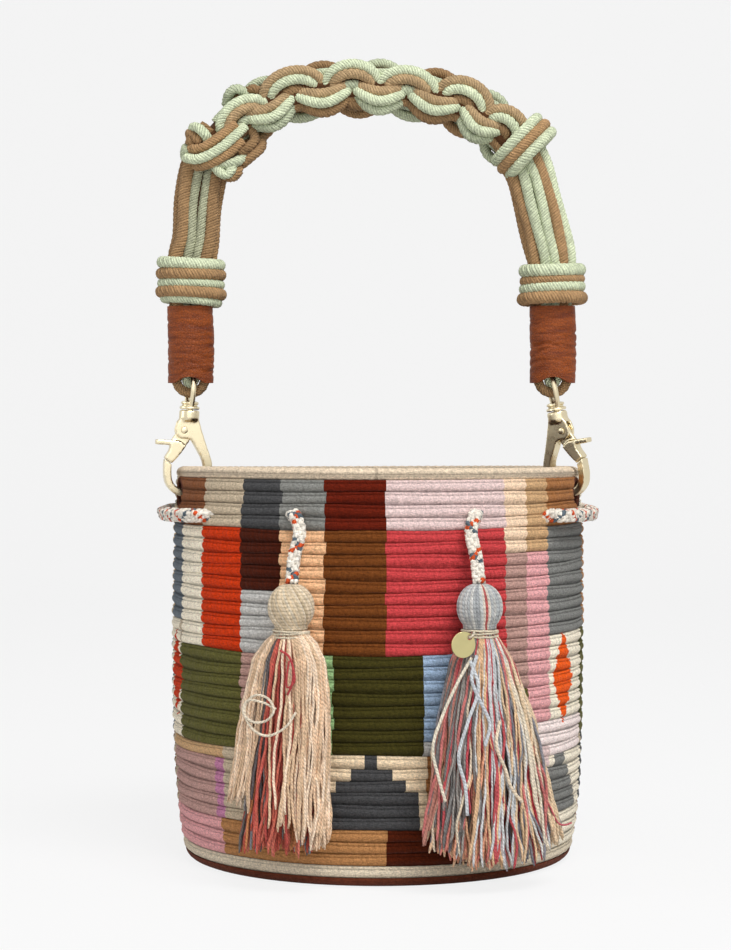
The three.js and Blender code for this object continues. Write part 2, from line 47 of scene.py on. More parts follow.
# Sizes shared with the part, in millimetres
BODY_R = 92.4
WALL = 4.5
HANDLE_Y = -20.8
HANDLE_TOP = 342.0
HOOK_Z = 163.0
LEFT_X = -82.79
RIGHT_X = 77.07
CORD_Z = 154.5
CORD_IN = 83.0
CORD_OUT = 96.1
HEAD_R = 9.5
HEAD_Z = 118.0
HEAD_AT = 102.5
LEFT_TASSEL = -20.4
RIGHT_TASSEL = 24.2
PROFILE_Z = np.array([0, 1, 4, 18, 38, 65, 105, 150, 170, 180])
PROFILE_R = np.array([80.4, 84.4, 86.8, 89.4, 91.4, 92.4, 92.4, 91.7, 90.4, 90.0])

# Camera, in metres. The photograph's frame is 731 by 950 pixels.
CAMERA_AT = (0, -1.1, 0.195)
LOOK_AT = (-0.0056, 0, 0.1704)
FRAME_H = 950
FOCAL_PX = 2442
SENSOR = 36


def aim(thing, to):
    """Turns a camera or lamp from its place towards a point."""
    thing.rotation_euler = (Vector(to) - thing.location).to_track_quat("-Z", "Y").to_euler()


def add_camera():
    camera = bpy.data.objects.new("camera", bpy.data.cameras.new("camera"))
    bpy.context.scene.collection.objects.link(camera)
    camera.location = CAMERA_AT
    aim(camera, LOOK_AT)
    camera.data.sensor_fit = "VERTICAL"
    camera.data.sensor_height = SENSOR
    camera.data.lens = SENSOR * FOCAL_PX / FRAME_H
    camera.data.clip_start = 0.05
    camera.data.clip_end = 20
    bpy.context.scene.camera = camera


# Mesh helpers
def srgb(code):
    v = np.array([int(code[i : i + 2], 16) for i in (1, 3, 5)]) / 255
    return np.where(v <= 0.04045, v / 12.92, ((v + 0.055) / 1.055) ** 2.4)


class Build:
    """Collects faces with their uvs and colours, then makes one object."""

    def __init__(self):
        self.points = []
        self.loops = []
        self.totals = []
        self.colours = []
        self.uvs = []
        self.number = 0

    def add(self, points, groups, uv=None, colour=(1, 1, 1), face_colour=None):
        """Adds groups of faces. uv has a row for each point, or is a list with the corners of each group."""
        for g, group in enumerate(groups):
            group = np.atleast_2d(np.asarray(group, int))
            corners = group.shape[1]
            self.loops.append((group + self.number).ravel())
            self.totals.append(np.full(len(group), corners))
            if face_colour is not None:
                self.colours.append(np.repeat(face_colour, corners, axis=0))
            else:
                self.colours.append(np.tile(np.asarray(colour, float), (group.size, 1)))
            if isinstance(uv, list):
                self.uvs.append(uv[g])
            else:
                self.uvs.append(uv[group.ravel()] if uv is not None else np.zeros((group.size, 2)))
        self.points.append(np.asarray(points, float))
        self.number += len(points)

    def make(self, name, material):
        mesh = bpy.data.meshes.new(name)
        points = np.concatenate(self.points) * MM
        loops = np.concatenate(self.loops)
        totals = np.concatenate(self.totals)
        colours = np.concatenate(self.colours)
        mesh.vertices.add(len(points))
        mesh.vertices.foreach_set("co", points.astype(np.float32).ravel())
        mesh.loops.add(len(loops))
        mesh.loops.foreach_set("vertex_index", loops.astype(np.int32))
        mesh.polygons.add(len(totals))
        starts = np.concatenate([[0], np.cumsum(totals)[:-1]])
        mesh.polygons.foreach_set("loop_start", starts.astype(np.int32))
        mesh.polygons.foreach_set("loop_total", totals.astype(np.int32))
        mesh.polygons.foreach_set("use_smooth", np.full(len(totals), True))
        layer = mesh.color_attributes.new("Col", "FLOAT_COLOR", "CORNER")
        opaque = np.concatenate([colours, np.ones((len(colours), 1))], axis=1)
        layer.data.foreach_set("color", opaque.astype(np.float32).ravel())
        uv = mesh.uv_layers.new(name="UV")
        uv.data.foreach_set("uv", np.concatenate(self.uvs).astype(np.float32).ravel())
        mesh.update()
        mesh.validate()
        mesh.materials.append(material)
        piece = bpy.data.objects.new(name, mesh)
        bpy.context.scene.collection.objects.link(piece)
        return piece


def quads(rows, columns, down_first=False, flip=False, wrap=False):
    """Faces of a grid of points that closes across its columns and, with wrap, along its rows too."""
    i, j = np.meshgrid(np.arange(rows if wrap else rows - 1), np.arange(columns), indexing="ij")
    i2 = (i + 1) % rows
    j2 = (j + 1) % columns
    corners = [i * columns + j, i * columns + j2, i2 * columns + j2, i2 * columns + j]
    if down_first:
        corners = [corners[k] for k in (0, 3, 2, 1)]
    if flip:
        corners = corners[::-1]
    return np.stack(corners, axis=-1).reshape(-1, 4)


def ring_angles(number):
    return np.arange(number) * TURN / number


def run(line):
    """Length along a line at each of its points."""
    return np.concatenate([[0], np.cumsum(np.linalg.norm(np.diff(line, axis=0), axis=1))])


def length(line):
    return float(run(line)[-1])


def spaced(line, step):
    """The same line with evenly spaced points."""
    s = run(line)
    at = np.linspace(0, s[-1], max(2, int(round(s[-1] / step)) + 1))
    return np.stack([np.interp(at, s, line[:, k]) for k in range(3)], axis=1)


def through(points, step):
    """Evenly spaced points on a centripetal Catmull-Rom curve through the given points."""
    p = np.asarray(points, float)
    p = np.concatenate([2 * p[:1] - p[1:2], p, 2 * p[-1:] - p[-2:-1]])
    out = []
    for i in range(1, len(p) - 2):
        a, b, c, d = p[i - 1 : i + 3]
        t1 = np.linalg.norm(b - a) ** 0.5
        t2 = t1 + max(1e-6, np.linalg.norm(c - b) ** 0.5)
        t3 = t2 + max(1e-6, np.linalg.norm(d - c) ** 0.5)
        t = np.linspace(t1, t2, 24, endpoint=False)[:, None]
        a1 = (t1 - t) / t1 * a + t / t1 * b
        a2 = (t2 - t) / (t2 - t1) * b + (t - t1) / (t2 - t1) * c
        a3 = (t3 - t) / (t3 - t2) * c + (t - t2) / (t3 - t2) * d
        b1 = (t2 - t) / t2 * a1 + t / t2 * a2
        b2 = (t3 - t) / (t3 - t1) * a2 + (t - t1) / (t3 - t1) * a3
        out.append((t2 - t) / (t2 - t1) * b1 + (t - t1) / (t2 - t1) * b2)
    out.append(p[-2:-1])
    return spaced(np.concatenate(out), step)


def frames(path, closed=False):
    """Tangent, normal and binormal along a path, turned as little as possible."""
    if closed:
        t = np.roll(path, -1, 0) - np.roll(path, 1, 0)
    else:
        t = np.gradient(path, axis=0)
    t /= np.linalg.norm(t, axis=1, keepdims=True) + 1e-12
    n = np.zeros_like(t)
    first = np.array([0, 1.0, 0]) if abs(t[0][1]) < 0.8 else np.array([1.0, 0, 0])
    v = first - t[0] * (first @ t[0])
    n[0] = v / np.linalg.norm(v)
    for i in range(1, len(t)):
        v = n[i - 1] - t[i] * (n[i - 1] @ t[i])
        n[i] = v / (np.linalg.norm(v) + 1e-12)
    return t, n, np.cross(t, n)


def tube(path, radius, sides=8, lobes=0, groove=0.0, pitch=0.0, closed=False, phase=0.0, taper=0.0):
    """Points, faces and uvs of a tube. With lobes it is a laid rope: its section turns once in each pitch."""
    path = np.asarray(path, float)
    m = len(path)
    t, n, b = frames(path, closed)
    s = run(path)
    whole = s[-1] + np.linalg.norm(path[0] - path[-1])
    angles = ring_angles(sides)
    section = 1 - groove * (1 - np.abs(np.cos(lobes / 2 * angles)))
    thick = np.broadcast_to(np.asarray(radius, float), (m,)).copy()
    if taper:
        thick *= np.clip(np.minimum(s, s[-1] - s) / taper + 0.55, 0, 1)
    turns = np.zeros(m)
    if pitch and closed:
        turns = s / whole * max(1, round(whole / pitch))
    elif pitch:
        turns = s / pitch
    a = angles[None] + TURN * turns[:, None] + phase
    r = thick[:, None] * section[None]
    v = path[:, None] + (r * np.cos(a))[..., None] * n[:, None] + (r * np.sin(a))[..., None] * b[:, None]
    faces = [quads(m, sides, wrap=closed)]
    if not closed:
        faces += [np.arange(sides)[::-1], (m - 1) * sides + np.arange(sides)]
    i, j = np.meshgrid(np.arange(m if closed else m - 1), np.arange(sides), indexing="ij")
    s_next = np.append(s, whole)
    across = np.stack([j, j + 1, j + 1, j], axis=-1) / sides
    along = np.stack([s[i], s[i], s_next[i + 1], s_next[i + 1]], axis=-1)
    uv = [np.stack([across, along], axis=-1).reshape(-1, 2)] + [np.zeros((sides, 2))] * (len(faces) - 1)
    return v.reshape(-1, 3), faces, uv


def fuzz(into, line, radius, colour, number, reach=1.3, half=0.07):
    """Stray fibres that stand off a rope, each one thin triangle."""
    k = rng.integers(1, len(line) - 1, number)
    t, n, b = frames(line)
    a = rng.uniform(0, TURN, number)
    out = np.cos(a)[:, None] * n[k] + np.sin(a)[:, None] * b[k]
    root = line[k] + out * radius * 0.9
    lean = out * rng.uniform(0.25, 0.8, number)[:, None] + t[k] * rng.uniform(-1, 1, number)[:, None]
    tip = root + lean * rng.uniform(0.4, 1.0, number)[:, None] * reach
    side = np.cross(lean, out)
    side = side / (np.linalg.norm(side, axis=1, keepdims=True) + 1e-9) * half
    points = np.stack([root - side, root + side, tip], axis=1).reshape(-1, 3)
    into.add(points, [np.arange(number * 3).reshape(-1, 3)], colour=colour)


def around(deg, r, z):
    """A point at an angle from the front, a radius from the bag's axis and a height."""
    a = np.radians(deg)
    return np.stack(np.broadcast_arrays(r * np.sin(a), -r * np.cos(a), z), axis=-1)


def body_radius(z):
    return np.interp(z, PROFILE_Z, PROFILE_R)


# Material helpers
def new_material(name):
    material = bpy.data.materials.new(name)
    material.use_nodes = True
    nt = material.node_tree
    nt.nodes.clear()
    out = nt.nodes.new("ShaderNodeOutputMaterial")
    shader = nt.nodes.new("ShaderNodeBsdfPrincipled")
    nt.links.new(shader.outputs[0], out.inputs[0])
    return material, nt, shader


def put(node, values):
    """Sets a node's inputs by name."""
    for name, value in values.items():
        node.inputs[name].default_value = value


def calc(nt, op, a, b=None, c=None):
    n = nt.nodes.new("ShaderNodeMath")
    n.operation = op
    for i, x in enumerate((a, b, c)):
        if isinstance(x, (int, float)):
            n.inputs[i].default_value = x
        elif x is not None:
            nt.links.new(x, n.inputs[i])
    return n.outputs[0]


def noise(nt, vector, scale, detail=3.0, rough=0.55):
    n = nt.nodes.new("ShaderNodeTexNoise")
    put(n, {"Scale": scale, "Detail": detail, "Roughness": rough})
    nt.links.new(vector, n.inputs["Vector"])
    return n.outputs[0]


def position(nt):
    return nt.nodes.new("ShaderNodeTexCoord").outputs["Object"]


def stored_colour(nt):
    n = nt.nodes.new("ShaderNodeAttribute")
    n.attribute_name = "Col"
    return n.outputs["Color"]


def uv_parts(nt):
    n = nt.nodes.new("ShaderNodeSeparateXYZ")
    nt.links.new(nt.nodes.new("ShaderNodeUVMap").outputs[0], n.inputs[0])
    return n.outputs[0], n.outputs[1]


def span(nt, factor, low, high, start=0.0, end=1.0):
    """A value that runs from low to high as factor goes from start to end."""
    n = nt.nodes.new("ShaderNodeMapRange")
    put(n, {"From Min": start, "From Max": end, "To Min": low, "To Max": high})
    nt.links.new(factor, n.inputs["Value"])
    return n.outputs[0]


def tint(nt, colour, factor, low, high, start=0.0, end=1.0):
    """colour multiplied by a grey that runs from low to high as factor goes from start to end."""
    n = nt.nodes.new("ShaderNodeVectorMath")
    n.operation = "SCALE"
    nt.links.new(colour, n.inputs[0])
    nt.links.new(span(nt, factor, low, high, start, end), n.inputs["Scale"])
    return n.outputs[0]


def blend(nt, factor, low, high, start=0.0, end=1.0):
    """A colour that runs from low to high as factor goes from start to end."""
    n = nt.nodes.new("ShaderNodeValToRGB")
    for stop, place, colour in zip(n.color_ramp.elements, (start, end), (low, high)):
        stop.position = place
        stop.color = (*colour, 1)
    nt.links.new(factor, n.inputs[0])
    return n.outputs[0]


def ridges(nt, turn):
    """Rounded ridges with narrow valleys, one to each whole turn."""
    wave = calc(nt, "ABSOLUTE", calc(nt, "SINE", calc(nt, "MULTIPLY", turn, math.pi)))
    return calc(nt, "POWER", wave, 0.6)


def bump(nt, shader, height, distance, strength):
    n = nt.nodes.new("ShaderNodeBump")
    put(n, {"Strength": strength, "Distance": distance})
    nt.links.new(height, n.inputs["Height"])
    nt.links.new(n.outputs[0], shader.inputs["Normal"])


def seen_rays(nt):
    """1 for a ray from the camera, off a glossy surface or through a clear one, else 0."""
    rays = nt.nodes.new("ShaderNodeLightPath").outputs
    seen = calc(nt, "ADD", rays["Is Camera Ray"], rays["Is Glossy Ray"])
    return calc(nt, "MINIMUM", calc(nt, "ADD", seen, rays["Is Transmission Ray"]), 1.0)


# Materials
def yarn_material(name, plies, twist, fine=900.0, relief=0.00025, deep=0.6):
    """Spun yarn coloured by the Col attribute. Its plies run round it, twist to a millimetre."""
    material, nt, shader = new_material(name)
    at = position(nt)
    u, v = uv_parts(nt)
    ply = ridges(nt, calc(nt, "MULTIPLY_ADD", u, float(plies), calc(nt, "MULTIPLY", v, twist)))
    fibre = noise(nt, at, fine, 3, 0.65)
    colour = tint(nt, stored_colour(nt), noise(nt, at, 260, 2), 0.86, 1.12, 0.3, 0.7)
    # Painted shade: the valleys between the plies are darkened to deep times the colour.
    colour = tint(nt, colour, ply, deep, 1.04)
    colour = tint(nt, colour, fibre, 0.74, 1.22, 0.3, 0.7)
    nt.links.new(colour, shader.inputs["Base Color"])
    put(shader, {"Roughness": 0.9, "Sheen Weight": 0.06, "Sheen Roughness": 0.5, "Specular IOR Level": 0.1})
    bump(nt, shader, calc(nt, "MULTIPLY_ADD", fibre, 0.5, ply), relief, 0.8)
    return material


def crochet_material():
    """Crochet worked in rounds: uv counts stitches across and rounds up.

    Each round has a thin upper rib and a full lower one, with painted shade in the seam below and fainter
    painted shade in the groove between.
    """
    material, nt, shader = new_material("crochet")
    at = position(nt)
    u, v = uv_parts(nt)
    strand = nt.nodes.new("ShaderNodeCombineXYZ")
    nt.links.new(calc(nt, "MULTIPLY_ADD", v, 2.6, calc(nt, "MULTIPLY", u, 1.1)), strand.inputs[0])
    nt.links.new(calc(nt, "MULTIPLY", v, 13.0), strand.inputs[1])
    streak = noise(nt, strand.outputs[0], 1.0, 3, 0.6)
    fibre = noise(nt, at, 1300, 3, 0.65)
    patch = noise(nt, at, 330, 2)
    up = calc(nt, "FRACT", v)
    under = calc(nt, "DIVIDE", up, calc(nt, "MULTIPLY_ADD", patch, 0.34, 0.02))
    over = calc(nt, "DIVIDE", calc(nt, "SUBTRACT", 1.0, up), calc(nt, "MULTIPLY_ADD", patch, 0.12, 0.01))
    seam = calc(nt, "MINIMUM", calc(nt, "MINIMUM", under, over), 1.0)
    rib = calc(nt, "ABSOLUTE", calc(nt, "SUBTRACT", up, 0.74))
    rib = calc(nt, "MINIMUM", calc(nt, "DIVIDE", rib, calc(nt, "MULTIPLY_ADD", patch, 0.14, 0.005)), 1.0)
    knot = ridges(nt, calc(nt, "MULTIPLY_ADD", patch, 0.8, calc(nt, "MULTIPLY_ADD", v, 0.5, u)))
    # Painted shade: darker in the seam between rounds, in the groove between the ribs, and a little in the
    # dips between stitches.
    colour = tint(nt, stored_colour(nt), seam, 0.42, 1.0)
    colour = tint(nt, colour, rib, 0.7, 1.0)
    colour = tint(nt, colour, knot, 0.94, 1.02)
    colour = tint(nt, colour, streak, 0.74, 1.24, 0.3, 0.7)
    colour = tint(nt, colour, fibre, 0.74, 1.26, 0.3, 0.7)
    nt.links.new(colour, shader.inputs["Base Color"])
    put(shader, {"Roughness": 0.95, "Sheen Weight": 0.05, "Sheen Roughness": 0.5, "Specular IOR Level": 0.08})
    height = calc(nt, "MULTIPLY_ADD", knot, 0.3, calc(nt, "MULTIPLY_ADD", fibre, 0.6, streak))
    bump(nt, shader, height, 0.0006, 0.8)
    return material


def leather_material():
    """Brown leather with a fine grain and folds that run round the sleeve."""
    material, nt, shader = new_material("leather")
    at = position(nt)
    cells = nt.nodes.new("ShaderNodeTexVoronoi")
    cells.feature = "DISTANCE_TO_EDGE"
    cells.inputs["Scale"].default_value = 900
    nt.links.new(at, cells.inputs["Vector"])
    grain = calc(nt, "MINIMUM", calc(nt, "MULTIPLY", cells.outputs["Distance"], 6.0), 1.0)
    stretch = nt.nodes.new("ShaderNodeVectorMath")
    stretch.operation = "MULTIPLY"
    stretch.inputs[1].default_value = (0.35, 0.35, 2.4)
    nt.links.new(at, stretch.inputs[0])
    folds = noise(nt, stretch.outputs[0], 190, 4, 0.65)
    colour = blend(nt, folds, srgb("#622607"), srgb("#a04f18"), 0.3, 0.72)
    nt.links.new(tint(nt, colour, grain, 0.72, 1.06), shader.inputs["Base Color"])
    put(shader, {"Roughness": 0.5, "Specular IOR Level": 0.28})
    bump(nt, shader, calc(nt, "ADD", calc(nt, "MULTIPLY", grain, 0.35), folds), 0.0006, 0.7)
    return material


def metal_material(name, code, rough):
    """Plated metal, a little worn: its shade and its gloss vary together."""
    material, nt, shader = new_material(name)
    at = position(nt)
    worn = noise(nt, at, 220, 4, 0.6)
    colour = blend(nt, worn, srgb(code) * 0.9, np.minimum(srgb(code) * 1.05, 1.0))
    nt.links.new(colour, shader.inputs["Base Color"])
    nt.links.new(span(nt, worn, rough - 0.05, rough + 0.1), shader.inputs["Roughness"])
    shader.inputs["Metallic"].default_value = 1.0
    bump(nt, shader, noise(nt, at, 1400, 2), 0.00003, 0.4)
    return material


CROCHET = crochet_material()
YARN = yarn_material("yarn", 2, 0.6, deep=0.7)
ROPE = yarn_material("rope", 6, 0.0, 1300.0, 0.0004, 0.72)
BRAID = yarn_material("braid", 2, 0.5, 1500.0, 0.0002)
LEATHER = leather_material()
GOLD = metal_material("pale_gold", "#e2d5b4", 0.26)
STEEL = metal_material("spring_steel", "#b8b8bc", 0.3)
# Painted shade: the charm's gold is a darker copy of the pale gold.
SHADED_CHARM_GOLD = metal_material("shaded_charm_gold", "#cfc48f", 0.3)

# Drawstring: the part's own route, as angles from the front, radii and heights
OUT_NEAR = CORD_OUT - 0.8
IN_NEAR = CORD_IN + 0.3
TOP_OF_HEAD = HEAD_Z + HEAD_R + 0.3
ROUTE = [
    (LEFT_TASSEL, HEAD_AT - 0.5, TOP_OF_HEAD), (LEFT_TASSEL, HEAD_AT - 3.5, TOP_OF_HEAD + 11),
    (-19.6, CORD_OUT + 0.4, CORD_Z - 6), (-21, OUT_NEAR - 0.8, CORD_Z), (-28, IN_NEAR, CORD_Z + 0.3),
    (-37, CORD_IN, CORD_Z), (-48, IN_NEAR, CORD_Z), (-56, OUT_NEAR, CORD_Z - 0.3),
    (-68, CORD_OUT, CORD_Z - 0.6), (-80, CORD_OUT, CORD_Z - 0.8), (-92, CORD_OUT, CORD_Z - 0.6),
    (-104, OUT_NEAR, CORD_Z - 0.3), (-112, IN_NEAR, CORD_Z), (-128, CORD_IN, CORD_Z + 0.3),
    (-145, IN_NEAR, CORD_Z), (-153, OUT_NEAR, CORD_Z - 0.3), (-166, CORD_OUT, CORD_Z - 0.6),
    (-180, CORD_OUT, CORD_Z - 0.8), (166, CORD_OUT, CORD_Z - 0.6), (153, OUT_NEAR, CORD_Z - 0.3),
    (145, IN_NEAR, CORD_Z), (128, CORD_IN, CORD_Z + 0.3), (112, IN_NEAR, CORD_Z),
    (104, OUT_NEAR, CORD_Z - 0.3), (92, CORD_OUT, CORD_Z - 0.6), (80, CORD_OUT, CORD_Z - 0.8),
    (68, CORD_OUT, CORD_Z - 0.6), (56, OUT_NEAR, CORD_Z - 0.3), (48, IN_NEAR, CORD_Z),
    (40, CORD_IN, CORD_Z), (32, IN_NEAR, CORD_Z + 0.3), (25, OUT_NEAR - 0.8, CORD_Z),
    (23.6, CORD_OUT + 0.4, CORD_Z - 6), (RIGHT_TASSEL, HEAD_AT - 3.5, TOP_OF_HEAD + 11),
    (RIGHT_TASSEL, HEAD_AT - 0.5, TOP_OF_HEAD),
]
STRANDS = ["#f1e9dc", "#f1e9dc", "#d4562c", "#5d6a72", "#f1e9dc", "#efe6d8", "#f3ece0", "#efe6d8"]
BRAID_PITCH = 12.6
STRAND_R = 1.12


def add_drawstring():
    """Eight strands round a core, every other one the other way, over and under each other."""
    cord_line = through([around(*p) for p in ROUTE], 1.0)
    _, n, b = frames(cord_line)
    turns = TURN * np.arange(len(cord_line)) / BRAID_PITCH
    braid = Build()
    braid.add(*tube(cord_line, 1.6, 6)[:2], colour=srgb("#c9bfb0"))
    for k, code in enumerate(STRANDS):
        way = 1 if k % 2 == 0 else -1
        along = turns + TURN * (k // 2) / 4
        a = way * along + 0.4
        lift = 1.85 + way * 0.5 * np.cos(4 * along - 1.6)
        line = cord_line + (lift * np.cos(a))[:, None] * n + (lift * np.sin(a))[:, None] * b
        braid.add(*tube(line, STRAND_R, 6), srgb(code))
    drawstring = braid.make("drawstring_braid", BRAID)
    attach(drawstring, "bag")
    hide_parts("drawstring")
    round(length(cord_line) * MM, 4)


# Crocheted body: 32 padded rounds, colour blocks by degrees from the front and rounds from the top
ROWS = 32
PITCH = 5.2
ROW_TOP = 170.4
STITCH = 2.3
FIRST_DEG = -84
C = {
    "brown": "#8b5737", "beige": "#cab89e", "slate": "#4b4b4c", "grey": "#888883", "rust": "#641c0a",
    "lilac": "#e5cbc7", "light_peach": "#f7d8b9", "camel": "#cea77b", "tan_brown": "#a77042",
    "blue_slate": "#6f777f", "cream": "#fbf0da", "orange": "#ce3a0c", "ember": "#f25d10",
    "dark_brown": "#481a0a", "blue_grey": "#c5c3bf", "peach": "#f7c496", "bark": "#73401a",
    "crimson": "#c94547", "taupe": "#bc968b", "rose": "#e8aaab", "mid_grey": "#83837f", "olive": "#615e30",
    "mint": "#a0c68b", "moss": "#413c16", "sky": "#9fb6d0", "pale_pink": "#fcebe6", "mauve": "#c19990",
    "magenta": "#c583a6", "straw": "#f0d8b6", "ochre": "#ba8554", "dark_rust": "#4e1c08",
    "round": "#e3d5bd", "base": "#643322",
}
# each field: its left and right angle, its first round, the round after its last, its colour
FIELDS = [
    # top band
    (-78, -55, 0, 4, "brown"), (-55, -39, 0, 4, "beige"), (-39, -26.5, 0, 4, "slate"),
    (-26.5, -14, 0, 4, "grey"), (-14, 2.2, 0, 4, "rust"), (2.2, 36, 0, 4, "lilac"),
    (36, 43.7, 0, 6, "light_peach"), (43.7, 53, 0, 6, "camel"), (53, 76, 0, 4, "tan_brown"),
    (76, 98, 0, 4, "cream"), (98, 128, 0, 4, "crimson"), (128, 150, 0, 4, "slate"),
    (150, 182, 0, 4, "peach"), (182, 210, 0, 4, "olive"), (210, 238, 0, 4, "lilac"),
    (238, 260, 0, 4, "camel"), (260, 282, 0, 4, "grey"),
    # tall band
    (-82, -68, 4, 12, "blue_slate"), (-68, -55, 4, 14, "cream"), (-55, -39, 4, 14, "orange"),
    (-39, -26.5, 4, 9, "dark_brown"), (-39, -26.5, 9, 14, "blue_grey"), (-26.5, -14, 4, 14, "peach"),
    (-14, 2.2, 4, 14, "bark"), (2.2, 36, 4, 14, "crimson"), (36, 43.7, 6, 17, "taupe"),
    (43.7, 53, 6, 20, "rose"), (53, 80, 4, 13, "mid_grey"), (80, 104, 4, 14, "ochre"),
    (104, 134, 4, 9, "mint"), (104, 134, 9, 14, "moss"), (134, 160, 4, 14, "orange"),
    (160, 190, 4, 14, "sky"), (190, 214, 4, 14, "bark"), (214, 248, 4, 14, "rose"),
    (248, 278, 4, 12, "straw"), (248, 282, 12, 14, "cream"),
    # lower band
    (-84, -69.5, 12, 22, "cream"), (-69.5, -39, 14, 22, "olive"), (-39, -15, 14, 22, "taupe"),
    (-15, -11.5, 14, 22, "mint"), (-11.5, 12, 14, 22, "moss"), (12, 36, 14, 21, "sky"),
    (12, 36, 21, 22, "blue_grey"), (36, 43.7, 17, 22, "olive"), (43.7, 47, 20, 23, "slate"),
    (53, 76, 13, 20, "cream"), (47, 76, 20, 23, "pale_pink"), (76, 100, 13, 22, "olive"),
    (100, 130, 14, 22, "rust"), (130, 156, 14, 22, "straw"), (156, 184, 14, 22, "dark_brown"),
    (184, 216, 14, 22, "light_peach"), (216, 244, 14, 22, "crimson"), (244, 276, 14, 22, "blue_slate"),
    # stepped band
    (-80, -46, 22, 24, "camel"), (-80, -48, 23, 28, "mauve"), (-49.5, -46, 23, 28, "magenta"),
    (-46, -15, 22, 28, "beige"), (-15, 13, 22, 28, "straw"), (13, 40, 22, 28, "tan_brown"),
    (40, 53, 22, 28, "lilac"), (53, 80, 23, 28, "cream"), (80, 108, 22, 28, "slate"),
    (108, 140, 22, 28, "peach"), (140, 170, 22, 28, "olive"), (170, 200, 22, 28, "rose"),
    (200, 230, 22, 28, "grey"), (230, 280, 22, 28, "bark"), (-3.6, -0.2, 22, 23, "slate"),
    (-7.2, 3.4, 23, 24, "slate"), (-10.7, 7, 24, 25, "slate"), (-13, 10.8, 25, 28, "slate"),
    # bottom band
    (-84, -48, 28, 31, "rose"), (-48, 2.2, 28, 31, "ochre"), (2.2, 30, 28, 31, "dark_rust"),
    (30, 50, 28, 31, "beige"), (50, 84, 28, 31, "cream"), (84, 120, 28, 31, "brown"),
    (120, 160, 28, 31, "sky"), (160, 200, 28, 31, "camel"), (200, 236, 28, 31, "moss"),
    (236, 278, 28, 31, "mauve"),
]
# each shape: its angle, its middle or top in rounds, its half width in degrees, its half or whole height
DIAMONDS = [(60.7, 16.6, 6.2, 3.9, "ember"), (-74.5, 16.6, 7, 3.6, "orange"), (230, 9, 9, 4, "cream"),
            (147, 18, 8, 3.5, "rust"), (119, 25, 8, 2.8, "slate")]
PYRAMIDS = [(59.2, 23.2, 14.0, 4.8, "mid_grey"), (185, 22.2, 10, 5.6, "cream")]


def field_colour(deg, row, fine=None):
    """Colour of the stitch at an angle and a round, both as arrays. fine is the place within the rounds."""
    fine = row + 0.5 if fine is None else fine
    deg = (deg - FIRST_DEG) % 360 + FIRST_DEG
    out = np.tile(srgb(C["beige"]), (len(deg), 1))
    for left, right, top, low, name in FIELDS:
        out[(deg >= left) & (deg < right) & (row >= top) & (row < low)] = srgb(C[name])
    for at, mid, wide, high, name in DIAMONDS:
        out[np.abs(deg - at) / wide + np.abs(fine - mid) / high < 1] = srgb(C[name])
    for at, top, wide, high, name in PYRAMIDS:
        down = row + 0.5 - top
        out[(down > 0) & (down < high) & (np.abs(deg - at) < wide * np.ceil(down) / high)] = srgb(C[name])
    out[row >= ROWS - 1] = srgb(C["round"])
    return out


# Slits for the hooks, where each claw crosses the wall
SLIT_W = 14.0
SLIT_H = 10.6
CLAW_OFF = 0.8


def slit_place(x, lean, yaw):
    """Angle and height of a slit, from its hook's place and its lean and yaw in degrees."""
    lean = math.radians(lean)
    yaw = math.radians(yaw)
    out = x + CLAW_OFF * math.cos(yaw) * math.cos(lean)
    back = HANDLE_Y + CLAW_OFF * math.sin(yaw)
    return math.degrees(math.atan2(out, -back)), HOOK_Z - CLAW_OFF * math.cos(yaw) * math.sin(lean)


SLITS = [slit_place(-85.2, 3, 194), slit_place(85.6, -10.5, -39)]


def arc_from(middle, deg, r):
    return np.radians((deg - middle + 180) % 360 - 180) * r


def in_slit(deg, z, r, grow):
    hit = np.zeros(np.shape(deg), bool)
    for mid_deg, mid_z in SLITS:
        across = arc_from(mid_deg, deg, r) / (SLIT_W / 2 + grow)
        hit |= across ** 2 + ((z - mid_z) / (SLIT_H / 2 + grow)) ** 2 < 1
    return hit


def calm_by_slit(deg, z):
    """Share of the ribs' relief that is left: little at a slit's edge, all of it 5 to 7 mm away."""
    share = np.ones(np.shape(deg))
    for mid_deg, mid_z in SLITS:
        far = np.hypot(arc_from(mid_deg, deg, BODY_R) / (SLIT_W / 2), (z - mid_z) / (SLIT_H / 2))
        share = np.minimum(share, np.clip(0.25 + 0.75 * (far - 1.1) / 0.9, 0.25, 1.0))
    return share


def slit_ring(mid_deg, mid_z, off, grow, sides=40):
    """An oval round a slit, off the wall's outer face and grown past the slit's edge."""
    a = ring_angles(sides)
    turn = np.degrees((SLIT_W / 2 + grow) * np.cos(a) / BODY_R)
    return around(mid_deg + turn, body_radius(mid_z) + off, mid_z + (SLIT_H / 2 + grow) * np.sin(a))


# Outside of the wall: where each round's points lie, and how far they stand out
STEPS = np.array([0.0, 0.08, 0.16, 0.26, 0.38, 0.54, 0.72, 0.88])
RELIEF = np.array([-1.0, -0.05, 0.16, -0.35, 0.3, 0.52, 0.36, -0.2])
SEG = 360


def wall_angles():
    """Even angles round the wall, with the nearest free one moved to each field's edge."""
    deg = np.arange(SEG) * 360.0 / SEG - 180
    moved = np.zeros(SEG, bool)
    for edge in sorted({(x + 180) % 360 - 180 for field in FIELDS for x in field[:2]}):
        for j in np.argsort(np.abs(deg - edge))[:3]:
            if not moved[j]:
                deg[j] = edge
                moved[j] = True
                break
    return deg, moved


